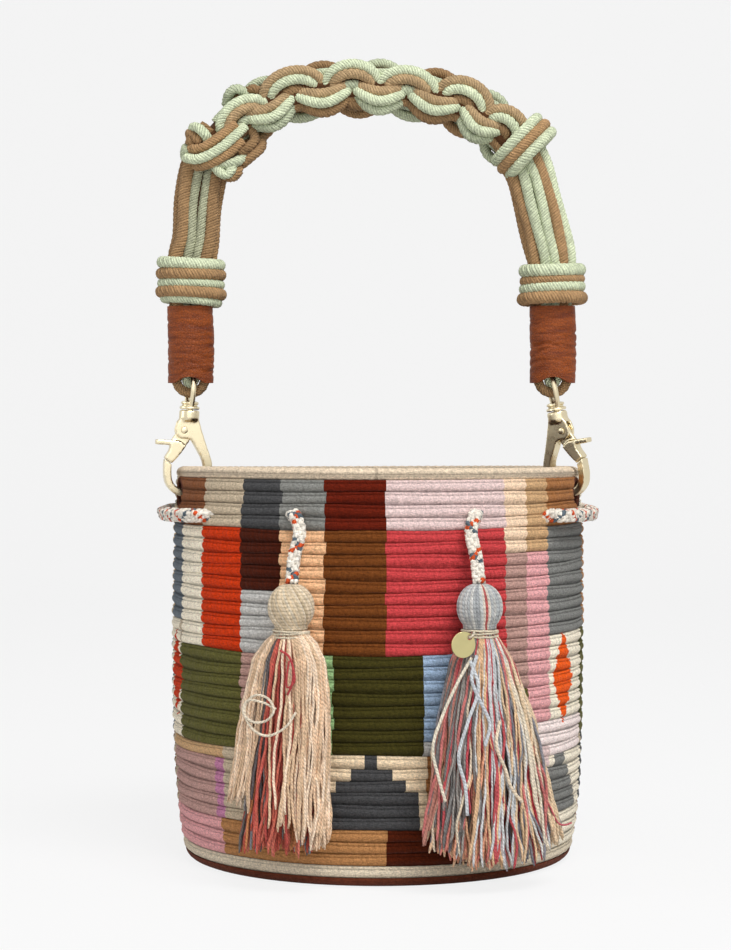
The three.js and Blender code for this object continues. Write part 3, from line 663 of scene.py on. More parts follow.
def add_wall():
    rows = np.append((np.arange(ROWS)[:, None] + STEPS[None]).ravel(), float(ROWS))
    relief = np.append(np.tile(RELIEF, ROWS), RELIEF[0])
    deg, moved = wall_angles()
    zz, dd = np.meshgrid(ROW_TOP - rows * PITCH, deg, indexing="ij")
    row_no = np.floor(rows + 1e-6)[:, None]
    ragged = np.clip(np.random.default_rng(3).normal(0, 0.22, (ROWS + 1, SEG)), -0.4, 0.4)
    dd = dd + ragged[row_no.astype(int).ravel()] * moved[None]
    a = np.radians(dd)
    wave = 0.34 * np.sin(a * 3 + row_no * 1.3) + 0.26 * np.sin(a * 9 + row_no * 2.1)
    wave *= np.clip((zz - 5) / 12, 0, 1) * np.clip((169 - zz) / 6, 0, 1)
    slump = 0.5 * np.sin(a * 2 + zz / 40) + 0.35 * np.sin(a * 5 - zz / 23)
    slump *= np.clip((zz - 10) / 30, 0, 1) * np.clip((168 - zz) / 15, 0, 1)
    zw = zz + wave
    radius = body_radius(zw) - 0.3 + calm_by_slit(dd, zz) * (relief[:, None] + 0.6 * slump)
    radius += 0.12 * np.sin(a * 61 + row_no * 2.6) + 0.1 * np.sin(a * 97 - row_no * 1.7)

    faces = quads(len(rows), SEG, down_first=True)
    i, j = np.divmod(np.arange(len(faces)), SEG)
    face_deg = (deg[j] + np.append(deg[1:], deg[0] + 360)[j]) / 2
    colours = field_colour(face_deg, (i // len(STEPS)).astype(float), (rows[i] + rows[i + 1]) / 2)
    beside = np.roll(dd, -1, 1)
    beside[:, -1] += 360
    up = np.broadcast_to(-rows[:, None], zz.shape)
    uv_u = np.stack([dd[:-1], dd[1:], beside[1:], beside[:-1]], axis=-1)
    uv_v = np.stack([up[:-1], up[1:], up[1:], up[:-1]], axis=-1)
    uv = np.stack([np.radians(uv_u) * BODY_R / STITCH, uv_v], axis=-1).reshape(-1, 4, 2)
    keep = ~in_slit(face_deg, zw.reshape(-1)[faces].mean(1), BODY_R, 0.9)
    body = Build()
    points = around(dd, radius, zw).reshape(-1, 3)
    body.add(points, [faces[keep]], [uv[keep].reshape(-1, 2)], face_colour=colours[keep])
    outer = body.make("crochet_wall", CROCHET)
    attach(outer, "bag")
    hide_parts("crochet_body")


# Inside of the wall, floor, underside, and the lips of the slits
INSIDE_SEG = 180
INSIDE_ROWS = 100
DISC_SIDES = 96
UNDER_R = 80
EDGE_R = np.array([81.5, 83.2, 84.6, 85.6, 86.3, 86.6, 86.5])
EDGE_Z = np.array([0.15, 0.35, 0.9, 1.7, 2.7, 3.6, 4.2])


def disc(into, radii, heights, colour, up):
    """A round of crochet worked from its middle, that faces up or down."""
    a = ring_angles(DISC_SIDES)
    level = np.outer(heights, np.ones(DISC_SIDES))
    points = np.stack([np.outer(radii, np.cos(a)), np.outer(radii, np.sin(a)), level], axis=-1)
    uv = np.stack([np.tile(a, len(radii)) * 60 / STITCH, np.repeat(radii, DISC_SIDES) / PITCH], axis=1)
    into.add(points.reshape(-1, 3), [quads(len(radii), DISC_SIDES, down_first=True, flip=not up)], uv, colour)


def inside_wall(into):
    dd, zz = np.meshgrid(np.arange(INSIDE_SEG) * 2.0 - 180, np.linspace(170.2, 8, INSIDE_ROWS))
    ribs = 0.35 * np.cos(TURN * (ROW_TOP - zz) / PITCH)
    points = around(dd, body_radius(zz) - WALL + 0.35 - ribs, zz).reshape(-1, 3)
    faces = quads(INSIDE_ROWS, INSIDE_SEG)
    face_deg = dd.ravel()[faces[:, 0]] + 1.0
    face_z = zz.ravel()[faces].mean(1)
    keep = ~in_slit(face_deg, face_z, BODY_R - WALL, 1.7)
    # Painted shade: the inside of the wall is 0.8 of its outside colours.
    colours = 0.8 * field_colour(face_deg, np.floor((ROW_TOP - face_z) / PITCH))
    uv = np.stack([np.radians(dd.ravel()) * BODY_R / STITCH, -(ROW_TOP - zz.ravel()) / PITCH], axis=1)
    into.add(points, [faces[keep]], uv, face_colour=colours[keep])


def add_inside():
    lining = Build()
    inside_wall(lining)
    floor_r = np.linspace(0.4, 83.2, 80)
    floor_z = 5.2 + 0.35 * np.cos(TURN * floor_r / PITCH) + 3.0 * np.clip((floor_r - 76) / 7, 0, 1) ** 2
    # Painted shade: the floor inside the bag is 0.8 of the base colour.
    disc(lining, floor_r, floor_z, 0.8 * srgb(C["base"]), True)
    under_r = np.linspace(0.4, UNDER_R, 78)
    under_z = np.maximum(0.45 + 0.3 * np.cos(TURN * under_r / PITCH) - 0.2 * (under_r < 1), 0.0)
    disc(lining, np.append(under_r, EDGE_R), np.append(under_z, EDGE_Z), srgb(C["base"]), False)
    for slit in SLITS:
        for off, grow, thick in ((-0.9, 0.9, 0.8), (1.2 - WALL, 1.4, 1.3)):
            lining.add(*tube(slit_ring(*slit, off, grow), thick, 8, 2, 0.2, 4, closed=True), srgb("#7a4a3a"))
        tunnel = np.stack([slit_ring(*slit, off, 0.35) for off in (-0.6, -WALL / 2, -WALL + 0.6)])
        lining.add(tunnel.reshape(-1, 3), [quads(*tunnel.shape[:2])], colour=srgb("#5a2f25"))
    inside = lining.make("crochet_inside", CROCHET)
    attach(inside, "bag")


# Rolled rim: a fat band of slanting stitches over the wall's edge, lower at the back
RIM_R = 86.9
RIM_Z = 172.5
RIM_WIDE = 3.5
RIM_HIGH = 2.7
RIM_SEG = 420
RIM_SIDES = 18
RIM_STITCH = 2.2


def add_rim():
    a = ring_angles(RIM_SEG)
    section = ring_angles(RIM_SIDES)
    sag = 0.5 * np.cos(a * 2 + 0.6) - 0.5 * np.exp(-((np.mod(np.degrees(a) + 180, 360) - 180) / 40) ** 2)
    drop = 2.6 * (0.5 - 0.5 * np.cos(a)) ** 2
    stitch = 1 + 0.05 * np.sin(a * 130)[:, None]
    wide = RIM_R + RIM_WIDE * np.cos(section)[None] * stitch
    high = RIM_Z + RIM_HIGH * np.sin(section)[None] * stitch + (0.6 * sag - drop)[:, None]
    points = np.stack([wide * np.sin(a)[:, None], -wide * np.cos(a)[:, None], high], axis=-1)
    uv = [np.repeat(a * RIM_R / RIM_STITCH, RIM_SIDES), np.tile(section / math.pi, RIM_SEG)]
    rim = Build()
    faces = quads(RIM_SEG, RIM_SIDES, down_first=True, wrap=True)
    rim.add(points.reshape(-1, 3), [faces], np.stack(uv, axis=1), srgb("#e3cfb5"))
    rim_piece = rim.make("rim_roll", CROCHET)
    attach(rim_piece, "bag")
    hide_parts("rim_binding")


# Tassels: twisted two-ply yarn folded over the cord's end, bound under the head
NECK = HEAD_Z - HEAD_R - 1.2
LOCK = TURN / 23
STRAND_GAP = 1.7
HEAD_CORE = np.array([(0.5, 8.6), (5, 7.4), (7.6, 3), (7.8, -3), (6.2, -7), (5.4, -9)])


def tassel_axes(at):
    """A function that places points given to the right of a tassel's axis, inward from it, and in height."""
    base = around(at, HEAD_AT, 0.0)
    ca = math.cos(math.radians(at))
    sa = math.sin(math.radians(at))

    def place(x, y, z):
        x, y, z = np.broadcast_arrays(np.asarray(x, float), np.asarray(y, float), np.asarray(z, float))
        return np.stack([base[0] + x * ca - y * sa, base[1] + x * sa + y * ca, z], axis=-1)

    return place


def tassel_head(side, place, wind, codes, r):
    head = Build()
    u = np.linspace(0.05, 0.97, 26) * math.pi
    for k, code in enumerate(codes):
        turn = TURN * k / len(codes) + wind * (u - 1.2) + r.normal(0, 0.02)
        wide = (HEAD_R - 0.75 + r.normal(0, 0.1)) * np.sin(u) ** 0.85
        wide = np.where(u > 2.2, np.maximum(wide, 6.0), wide)
        line = place(wide * np.cos(turn), wide * np.sin(turn), HEAD_Z + (HEAD_R - 0.5) * np.cos(u))
        head.add(*tube(spaced(line, 1.1), 0.9, 8), srgb(code) * r.uniform(0.9, 1.05))
    # Painted shade: a core at 0.45 of the first yarn's colour shows dark through the gaps in the head.
    core = place(0, 0, HEAD_Z + HEAD_CORE[:, 1])
    head.add(*tube(core, HEAD_CORE[:, 0], 16), srgb(codes[0]) * 0.45)
    o = head.make(side + "_tassel_knot", YARN)
    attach(o, "bag")
    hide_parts(side + "_tassel_head")


def tassel_tie(side, place, r):
    tie = Build()
    a = ring_angles(52)
    for k in range(3):
        line = place(7.4 * np.cos(a), 7.2 * np.sin(a), NECK + (k - 1) * 0.95 + 0.35 * np.sin(a + 2 * k))
        tie.add(*tube(line, 0.6, 6, 2, 0.25, 2.6, closed=True), srgb("#e6d8bf") * r.uniform(0.92, 1.04))
    o = tie.make(side + "_tassel_binding", YARN)
    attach(o, "bag")
    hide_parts(side + "_tassel_tie")


def strand_line(place, skirt, turn, shell, end, rough, r):
    """One strand from the neck to its end: it spreads, leans, gathers into locks and waves a little."""
    depth = np.linspace(-1.4, NECK - end, 64)
    share = np.clip(depth / (NECK - skirt["low"]), 0, 1)
    wide = np.interp(depth, skirt["at"], skirt["wide"])
    deep = np.interp(depth, skirt["at"], skirt["deep"])
    lock = (math.floor(turn / LOCK) + 0.5) * LOCK
    drift = turn + (skirt["lock"] * (lock - turn) + r.normal(0, skirt["stray"])) * share
    swing = r.uniform(0.3, 1.0) * rough
    waves = r.uniform(0.8, 2.2)
    start = r.uniform(0, 6)
    bend = waves * 6.28 * share + start
    x = shell * wide * np.cos(drift) + skirt["lean"] * share + 1.6 * swing * share ** 0.6 * np.sin(bend)
    y = shell * deep * np.sin(drift) - skirt["out"] * share + 0.7 * swing * share * np.cos(bend)
    x += 0.16 * np.sin(depth * r.uniform(0.5, 0.9) + start)
    line = place(x, y, NECK - depth)
    flat = np.hypot(line[:, 0], line[:, 1])
    need = body_radius(line[:, 2]) + STRAND_GAP
    line[:, :2] *= np.where(flat < need, need / flat, 1.0)[:, None]
    return spaced(line, 2.4)


def tassel_skirt(side, place, skirt, pick, r):
    yarn = Build()
    for shell, number in skirt["layers"]:
        for k in range(number):
            turn = TURN * (k + r.uniform(-0.35, 0.35)) / number
            code, end, rough = pick(shell * math.cos(turn), math.sin(turn), shell, r)
            if code is None:
                continue
            line = strand_line(place, skirt, turn, shell, end, rough, r)
            thick = 0.62 * r.uniform(0.85, 1.12)
            strand = tube(line, thick, 5, phase=r.uniform(0, 6), taper=1.5)
            yarn.add(*strand, srgb(code) * r.uniform(0.88, 1.06))
    for points, code, thick in skirt["loose"]:
        yarn.add(*tube(through([place(*p) for p in points], 0.9), thick, 6), srgb(code))
    o = yarn.make(side + "_tassel_strands", YARN)
    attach(o, "bag")
    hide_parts(side + "_tassel_skirt")


def add_tassel(side, at, skirt, head_codes, pick, seed):
    r = np.random.default_rng(seed)
    place = tassel_axes(at)
    tassel_head(side, place, skirt["wind"], head_codes, r)
    tassel_tie(side, place, r)
    tassel_skirt(side, place, skirt, pick, r)


# Colour, end height and roughness of each strand, picked by its place
CREAMS = ["#f5d7b9", "#eeccab", "#fce3c8", "#e4c3a1"]
CORALS = ["#d0685a", "#dc7d6a", "#d6725f", "#c25850"]
GREYS = ["#77706f", "#665f60", "#8b8686"]
ENDS_MIX = ["#b9564a", "#c26a58", "#d0786a", "#d08a5c", "#8d959c", "#c9604f", "#6b6663"]


def pick_left(x, y, shell, r):
    """Cream outside, with grey and coral strands that show through a gap at the front and below the ends."""
    part = x / max(shell, 0.3)
    end = max(31 - 9.5 * part + r.normal(0, 3.4), 19.0)
    gap = y < 0 and -0.52 < part < -0.14
    sparse = y < 0 and -0.14 <= part < 0.55
    if shell > 0.92:
        if (gap and r.random() < 0.94) or (sparse and r.random() < 0.34):
            return None, 0, 0
        return r.choice(CREAMS), end, 1.3
    inner_end = 15.5 + abs(r.normal(0, 4.6))
    if gap and part < -0.4:
        return r.choice(GREYS), inner_end + 16, 1.2
    if gap:
        return r.choice(CORALS), inner_end, 1.2
    if shell > 0.8:
        if sparse and r.random() < 0.7:
            return r.choice(CORALS), inner_end, 1.4
        return r.choice(CREAMS), end, 1.3
    return r.choice(ENDS_MIX), inner_end, 1.4


# runs of one colour across the right tassel, each from its place towards the right edge at 1
RUN = [
    (-1.0, "#c4897a"), (-0.92, "#807d7b"), (-0.76, "#a39d97"), (-0.62, "#7a7572"), (-0.5, "#d3d5d6"),
    (-0.38, "#e2bb94"), (-0.24, "#bb454e"), (-0.12, "#d6d7d7"), (-0.05, "#c0585c"), (0.09, "#a19ea6"),
    (0.14, "#d0d2d3"), (0.22, "#e5c6a2"), (0.31, "#77757c"), (0.44, "#e6c49d"), (0.54, "#bb454e"),
    (0.62, "#ecdec8"), (0.74, "#8c8283"), (0.84, "#e8cdab"),
]
MIXED = ["#d3d5d7", "#ecd0ae", "#8b8a90", "#e2e1dd", "#cf7a76", "#6a7077", "#ecd9bf", "#c05058", "#c4585c",
         "#e8c096", "#ecdcc4"]
PEACHES = ["#e8b48e", "#eac3a0", "#e3a384", "#d98478"]


def pick_right(x, y, shell, r):
    """Runs of one colour with mixed strands between, and peach ones inside at the left."""
    end = 9.5 + 11 * x * x + abs(r.normal(0, 3.6))
    at = x / max(shell, 0.3) + r.normal(0, 0.07)
    if shell < 0.9 and at < -0.1 and r.random() < 0.6:
        return r.choice(PEACHES), end, 2.2
    if shell > 0.9 and -0.95 < at < -0.5:
        end += r.uniform(4, 20)
    if r.random() < 0.36:
        return r.choice(MIXED), end, 2.2
    return [code for place, code in RUN if place <= max(at, -1.0)][-1], end, 1.7


# Skirts: half widths and half depths at depths below the neck, shells of strands, and loose threads
LEFT_SKIRT = {
    "low": 21, "lean": -7.0, "out": 0.6, "wind": 0.5, "stray": 0.11, "lock": 0.3,
    "at": [-2, 0, 4, 11, 30, 60, 88],
    "wide": [6.2, 6.4, 11.0, 15.4, 18.2, 20.6, 23.0],
    "deep": [6.0, 6.2, 7.6, 8.3, 8.4, 8.6, 8.8],
    "layers": [(1.0, 108), (0.86, 84), (0.64, 70), (0.36, 30)],
    "loose": [
        ([(6, -9.5, 76), (2, -10.6, 70), (-6, -10.8, 66), (-12, -10.8, 68), (-16, -10.8, 74),
          (-15.5, -10.6, 79), (-11, -10.6, 82.5), (-5.5, -10.7, 81), (-3.2, -10.9, 76.5), (-6, -11.2, 72.5),
          (-12, -11.4, 71.5), (-16.5, -11.3, 75), (-15, -11, 80), (-8, -10.4, 79.5), (-2.5, -10.2, 77)],
         "#e9dcc6", 0.55),
        ([(-1, -9.4, 101), (3, -10.2, 99), (5.2, -10.2, 93), (4.4, -10.2, 87), (2.4, -10, 83)],
         "#bb4b4d", 0.5),
        ([(3.4, -10.3, 97), (2.4, -10.4, 91), (2.6, -10.4, 86), (5.6, -10.3, 88.5), (5.2, -10.3, 94)],
         "#bb4b4d", 0.45),
    ],
}
RIGHT_SKIRT = {
    "low": 9.5, "lean": 6.5, "out": 2.2, "wind": 0.06, "stray": 0.15, "lock": 0.5,
    "at": [-2, 0, 5, 12, 35, 70, 98],
    "wide": [5.8, 6.1, 9.4, 13.4, 20.5, 27.5, 33.5],
    "deep": [5.8, 6.0, 7.4, 8.2, 8.8, 9.3, 9.6],
    "layers": [(1.0, 136), (0.86, 104), (0.64, 70), (0.38, 30)],
    "loose": [
        ([(-8, -8.6, 98), (-15, -9.6, 88), (-22, -9.4, 74), (-25.5, -8.6, 62), (-23, -8.8, 50),
          (-20, -9, 40)], "#e6dcc8", 0.7),
        ([(-6, -9.4, 99), (-9, -10.6, 90), (-5, -11, 80), (-1, -11.2, 71), (-3, -11, 62)], "#cdd1d6", 0.8),
        ([(-9, -9.4, 97), (-6, -10.8, 86), (-11, -11.2, 72), (-15, -11, 58), (-12, -11, 46), (-11, -11, 34)],
         "#d0d4d8", 0.8),
        ([(4, -10.4, 72), (2, -11.4, 62), (6, -11.6, 52), (9, -11.4, 44), (14, -11.2, 38)], "#ecd9bf", 0.75),
        ([(24, -7, 44), (29, -8, 34), (33, -7, 27.5), (37.5, -5, 26), (41, -4, 26.5)], "#c9606a", 0.4),
    ],
}
HEAD_YARNS = 44
HEAD_CREAMS = ["#dccaaf", "#d5c1a3", "#e3d4bc", "#cfba9b"]
HEAD_MIX = ["#b6b9ba", "#c2c3c1", "#aeb1b2", "#c8c7c3", "#b6b9ba", "#a3a6a8", "#c2c3c1", "#cdcac4"]
LEFT_HEAD = [HEAD_CREAMS[k % len(HEAD_CREAMS)] for k in range(HEAD_YARNS)]
RIGHT_HEAD = [HEAD_MIX[k % len(HEAD_MIX)] for k in range(HEAD_YARNS)]
RIGHT_HEAD[31:34] = ["#d9d0c2", "#b9605c", "#d9d0c2"]
RIGHT_HEAD[41:44] = ["#c9a9aa", "#d6c6b4", "#a9a0a2"]

# Knotted handle: a chain of square knots in doubled rope, mint and tan
MINT = srgb("#d7e0be")
TAN = srgb("#b08c64")
# SHADE is painted shade: the colour of the dark cores and hidden rings that show between the ropes.
SHADE = srgb("#6e4a30")
# Painted shade: the legs' mint and tan are darker copies of MINT and TAN.
SHADED_LEG_MINT = 0.53 * MINT + 0.15 * TAN
SHADED_LEG_TAN = TAN * 0.83
KNOT_TAN = 0.88 * TAN + 0.12 * MINT
ROPE_R = 2.4
ROPE_LAY = (3, 0.1, 7.2)  # lobes, groove and pitch of a laid rope
LOOP_AT = HOOK_Z + 46
FERRULE_LOW = HOOK_Z + 48.5
FERRULE_TOP = HOOK_Z + 82.3
COLLAR_TOP = FERRULE_TOP + 19.6
TOWARD = np.array([0, -1.0, 0])


def lay(line, colour, into, phase=0.0, radius=ROPE_R, closed=False):
    """A laid rope with its stray fibres."""
    rope = tube(line, radius, 12, *ROPE_LAY, closed, phase)
    into.add(*rope, colour * rng.uniform(0.93, 1.05))
    # Painted highlight: the stray fibres are 1.05 times as light as their rope.
    fuzz(into, np.asarray(line), radius, colour * 1.05, int(length(line) * 2.6))


# the handle's middle line, from the left ferrule over the top to the right one
LEFT_LEG = [(LEFT_X, FERRULE_LOW + 14), (LEFT_X + 0.2, FERRULE_TOP), (LEFT_X + 0.4, COLLAR_TOP),
            (LEFT_X + 2.39, HANDLE_TOP - 67), (LEFT_X + 3.79, HANDLE_TOP - 49)]
GRIP = [(-76, -34), (-69, -22), (-56.7, -12), (-39, -4), (-12.4, 0), (14.2, -1.8), (38.5, -9), (56.2, -21),
        (65.5, -35)]
RIGHT_LEG = [(RIGHT_X - 6.87, HANDLE_TOP - 50), (RIGHT_X - 2.87, HANDLE_TOP - 66),
             (RIGHT_X - 0.5, COLLAR_TOP), (RIGHT_X - 0.1, FERRULE_TOP), (RIGHT_X, FERRULE_LOW + 14)]
HANDLE_LINE = LEFT_LEG + [(x, HANDLE_TOP + z) for x, z in GRIP] + RIGHT_LEG
SPINE = through([(x, HANDLE_Y, z) for x, z in HANDLE_LINE], 0.5)
SPINE_S = run(SPINE)


def spine_outward():
    """The direction away from the middle of the arch, at each point of the spine."""
    along = np.gradient(SPINE, axis=0)
    along /= np.linalg.norm(along, axis=1, keepdims=True)
    out = np.cross(along, TOWARD)
    return out * np.sign(out[len(SPINE) // 2, 2])


OUTWARD = spine_outward()


def on_spine(s, u, v):
    """Points at a length along the handle, outward from it, and towards the front."""
    p = np.stack([np.interp(s, SPINE_S, SPINE[:, k]) for k in range(3)], axis=1)
    n = np.stack([np.interp(s, SPINE_S, OUTWARD[:, k]) for k in range(3)], axis=1)
    return p + np.asarray(u)[:, None] * n + np.asarray(v)[:, None] * TOWARD


def nearest(x, z):
    return SPINE_S[np.argmin((SPINE[:, 0] - x) ** 2 + (SPINE[:, 2] - z) ** 2)]


KNOT_PLACES = ((-62.9, 332.5), (-39, 345.7), (-11.5, 351), (14.6, 348), (39.4, 339), (58.4, 325.8))
KNOTS = [nearest(x, z) for x, z in KNOT_PLACES]
# Painted shade: the inner arcs and the whole rear row take darker copies of MINT and TAN.
# arcs of a knot: colour, half width as a share of the spacing, height, base, lift and how proud it stands
FRONT = [(MINT, 0.5, 9.2, 0.2, 3.6, 3.6), (KNOT_TAN, 0.37, 5.4, 0.0, 4.0, 3.6),
         (MINT * 0.8, 0.2, 2.0, -0.9, 2.8, 2.8)]
REAR = [(TAN * 0.9, 0.5, 10.4, 0.2, 3.2, 3.2), (MINT * 0.85, 0.37, 6.0, 0.0, 3.6, 3.2),
        (TAN * 0.6, 0.2, 2.4, -0.9, 2.4, 2.6)]
FRONT_SWAP = (KNOT_TAN, MINT, TAN * 0.8)
REAR_SWAP = (MINT * 0.85, TAN * 0.8, MINT * 0.6)
SWAPPED = (1, 4, 5)
OFF = [-3.2, 0.3, -1.0, -1.6, 0.6, -1.2]  # how far out each front knot sits from the line of the rest
# links between knots: colour, height of their ends, dip and how proud they stand
# Painted shade: the lowest link is a darker copy of TAN.
LINKS = [(KNOT_TAN, 1.7, 4.6, -0.4), (MINT, 0.0, 7.2, 0.5), (TAN * 0.75, -2.8, 8.2, -2.4)]


def knot_arcs(handle, back, arcs):
    """Arched ropes over each knot. back is 1 for the front row and -1 for the rear one."""
    th = np.radians(np.linspace(-108, 108, 61))
    for k, at in enumerate(KNOTS):
        before = max(k - 1, 0)
        after = min(k + 1, len(KNOTS) - 1)
        gap = (KNOTS[after] - KNOTS[before]) / (after - before)
        for n, (colour, wide, high, base, lift, proud) in enumerate(arcs):
            if back > 0 and k in SWAPPED:
                colour = FRONT_SWAP[n]
            if back < 0 and k % 2:
                colour = REAR_SWAP[n]
            s = at + (0 if back > 0 else 3.0) + wide * gap * np.sin(th) * (1 + 0.05 * math.sin(k * 2.3))
            u = base + high * np.cos(th) * (1 + 0.05 * math.sin(k * 4.1)) + (OFF[k] if back > 0 else 0)
            v = lift + proud * np.cos(th)
            lay(spaced(on_spine(s, back * u, back * v), 0.8), colour, handle, k + wide * 9)


def knot_links(handle, back):
    """Ropes that hang from each knot to the next one."""
    t = np.linspace(-1.1, 1.1, 61)
    bow = np.cos(np.clip(t, -1, 1) * math.pi / 2)
    past = np.clip(np.abs(t) - 1, 0, 1)
    for k, (a, b) in enumerate(zip(KNOTS, KNOTS[1:])):
        for colour, end, dip, proud in LINKS:
            # Painted shade: on every other link the lowest rope is a darker copy of MINT.
            if end < -2 and k % 2 == 0:
                colour = MINT * 0.8
            s = (a + b) / 2 + (b - a) / 2 * t
            u = end - dip * bow ** 0.85 - 2.0 * past
            v = 7.6 + proud - 5.6 * np.abs(t) ** 3.2
            lay(spaced(on_spine(s, back * u, back * v), 0.8), colour, handle, k + end)


def runners(handle):
    """Ropes along the handle, outside and inside, between the two rows of knots."""
    s = np.linspace(KNOTS[0] - 10, KNOTS[-1] + 8, 240)
    # Painted shade: these ropes between the rows are darker copies of MINT and TAN.
    for up, side, colour in ((6.0, 2.4, MINT * 0.8), (6.0, -2.4, TAN * 0.85), (-6.0, 2.4, TAN * 0.8),
                             (-6.0, -2.4, MINT * 0.75)):
        line = on_spine(s, up + 0.6 * np.sin(s / 6 + side + up), np.full(len(s), side))
        handle.add(*tube(line, 2.2, 9, *ROPE_LAY), colour)


# places read off the photograph, in its pixels
PHOTO_MM = 0.4427  # millimetres to a pixel in the handle's plane
PHOTO_X = 378  # column where x is 0
PHOTO_Y = 420.5  # row at the camera's height
EYE_Z = 195


def photo_plane(px, py):
    """A point in the handle's plane, from its place in the picture."""
    return np.array([(px - PHOTO_X) * PHOTO_MM, HANDLE_Y, EYE_Z - (py - PHOTO_Y) * PHOTO_MM])


# left end: ropes sweep round the leg from behind and rise under the first knot, with tucked loops by them.
# Each point is a column and a row of the photograph and a distance to the front
# Painted shade: the darker copies of MINT and TAN mark ropes that lie lower, tucked in or behind.
ENDS = [
    (MINT, [(188, 151, -8), (186, 157, -2), (190, 161, 6), (200, 163, 10), (212, 159, 11), (226, 150, 10.5),
            (238, 139, 9), (246, 130, 6)]),
    (TAN, [(193, 143, -8), (190, 149, -1), (194, 152, 5.5), (204, 152, 8.6), (220, 142, 9), (238, 128, 7)]),
    (TAN, [(192, 163, -6), (195, 167, 2), (203, 169, 7), (215, 166, 9), (230, 157, 9), (244, 144, 7)]),
    (MINT, [(194, 134, -3), (195, 130, 3), (201, 132, 7), (208, 139, 8), (210, 146, 5)]),
    (TAN * 0.9, [(191, 138, -6), (191, 135, 0), (196, 139, 5), (203, 146, 6)]),
    (MINT * 0.9, [(246, 150, 0), (244, 160, 5), (236, 166, 8), (224, 168, 7), (214, 166, 3)]),
    (TAN * 0.8, [(262, 138, -2), (262, 150, 3), (254, 158, 5), (244, 166, 4), (236, 168, 0)]),
    (TAN * 0.7, [(252, 132, 2), (256, 142, 4), (250, 150, 6), (240, 156, 6)]),
    (TAN * 0.9, [(238, 168, 4), (240, 174, 6), (234, 180, 6), (226, 178, 6), (221, 170, 5)]),
    (MINT, [(216, 166, 6), (220, 174, 8), (228, 178, 8.5), (234, 172, 8), (230, 166, 6)]),
    (MINT * 0.85, [(227, 106, -2), (230, 97, 2), (237, 92, 4), (245, 95, 3), (249, 106, 0)]),
    (TAN * 0.75, [(245, 102, -2), (249, 94, 2), (256, 92, 3), (261, 99, 1), (262, 108, -1)]),
    (TAN * 0.7, [(233, 107, -3), (235, 101, -1), (240, 98, 0), (245, 102, -1), (246, 109, -3)]),
    (TAN * 0.6, [(346, 104, 0), (352, 108, 2), (358, 109, 2.5), (364, 107, 1), (369, 103, -1)]),
]
SWEEPS = 3  # the first of these ropes, which are repeated at the back
END_R = 2.3


def left_end(handle):
    for k, (colour, route) in enumerate(ENDS):
        line = [photo_plane(px, py) + TOWARD * (front + 1.0) for px, py, front in route]
        lay(through(line, 0.9), colour, handle, k, END_R)
    for k, (colour, route) in enumerate(ENDS[:SWEEPS]):
        line = [photo_plane(px, py) - TOWARD * (front + 1.0) for px, py, front in route]
        # Painted shade: the copies at the back are 0.9 of their colour.
        lay(through(line, 0.9), colour * 0.9, handle, k + 2, END_R)


WRAP_AT = (523, 148)  # pixel at the middle of the wrap
WRAP_SLOPE = 46
WRAP_HALF = 12.8
WRAP_DEEP = 10.8


def right_wrap(handle):
    """Three turns of rope round the handle's right shoulder."""
    slope = math.radians(WRAP_SLOPE)
    across = np.array([math.cos(slope), 0, math.sin(slope)])
    along = np.array([across[2], 0, -across[0]])
    a = ring_angles(100)
    for k, colour in enumerate((MINT, TAN, MINT)):
        half = WRAP_HALF + (k == 1) * 0.5
        ring = np.outer(half * np.cos(a), across) + np.outer(WRAP_DEEP * np.sin(a), TOWARD)
        lay(photo_plane(*WRAP_AT) + (k - 1) * 4.3 * along + ring, colour, handle, k, 2.6, True)


# legs: four ropes in front and more behind, each with its place across and to the front, colour and radius
# Painted shade: the copies of MINT and TAN darker than their own colours stand for shade on the legs.
LEG_ROPES = {
    "left": [(-6.2, 3.4, SHADED_LEG_TAN, 3.1), (-1.8, 3.8, SHADED_LEG_MINT, 2.3), (2.6, 3.7, SHADED_LEG_MINT, 2.2),
             (6.6, 3.3, SHADED_LEG_TAN, 2.9), (-8.7, -0.6, SHADED_LEG_TAN, 2.4), (8.8, -0.4, TAN * 0.95, 2.3),
             (-6.0, -3.8, TAN, 2.5), (-2.0, -4.2, MINT, 2.5), (2.0, -4.2, TAN, 2.5), (6.0, -3.8, MINT, 2.5)],
    "right": [(-7.2, 2.4, TAN, 2.5), (-3.2, 4.2, MINT * 0.9, 2.6), (1.2, 4.4, MINT * 0.94, 2.5),
              (5.2, 3.8, TAN, 2.6), (8.5, 1.0, MINT * 1.02, 2.5), (-8.6, -1.2, TAN, 2.4),
              (-6.0, -3.8, MINT, 2.5), (-2.0, -4.2, TAN, 2.5), (2.0, -4.2, MINT, 2.5), (6.4, -3.4, TAN, 2.5)],
}


def leg(handle, side):
    """Straight ropes that close into a ferrule, round a dark core of painted shade."""
    left = side == "left"
    s = np.arange(0, KNOTS[0] - 12, 0.5) if left else np.arange(KNOTS[-1] + 8, SPINE_S[-1], 0.5)
    from_low = s if left else SPINE_S[-1] - s
    fan = np.clip((from_low - 20) / 26, 0, 1)
    fan = fan * fan * (3 - 2 * fan)
    squeeze = 0.76 + 0.24 * fan + (0.05 * np.sin(from_low / 14) if left else 0)
    for k, (across, front, colour, thick) in enumerate(LEG_ROPES[side]):
        u = across * squeeze + 0.35 * np.sin(from_low / 7 + k * 1.9)
        line = on_spine(s, -u if left else u, front * (0.86 + 0.14 * fan))
        lay(spaced(line, 0.8), colour, handle, k * 0.8, thick)
    # Painted shade: a dark core shows between the ropes.
    handle.add(*tube(on_spine(s, 0 * s, 0 * s), 4.2, 10), SHADE * 0.5)


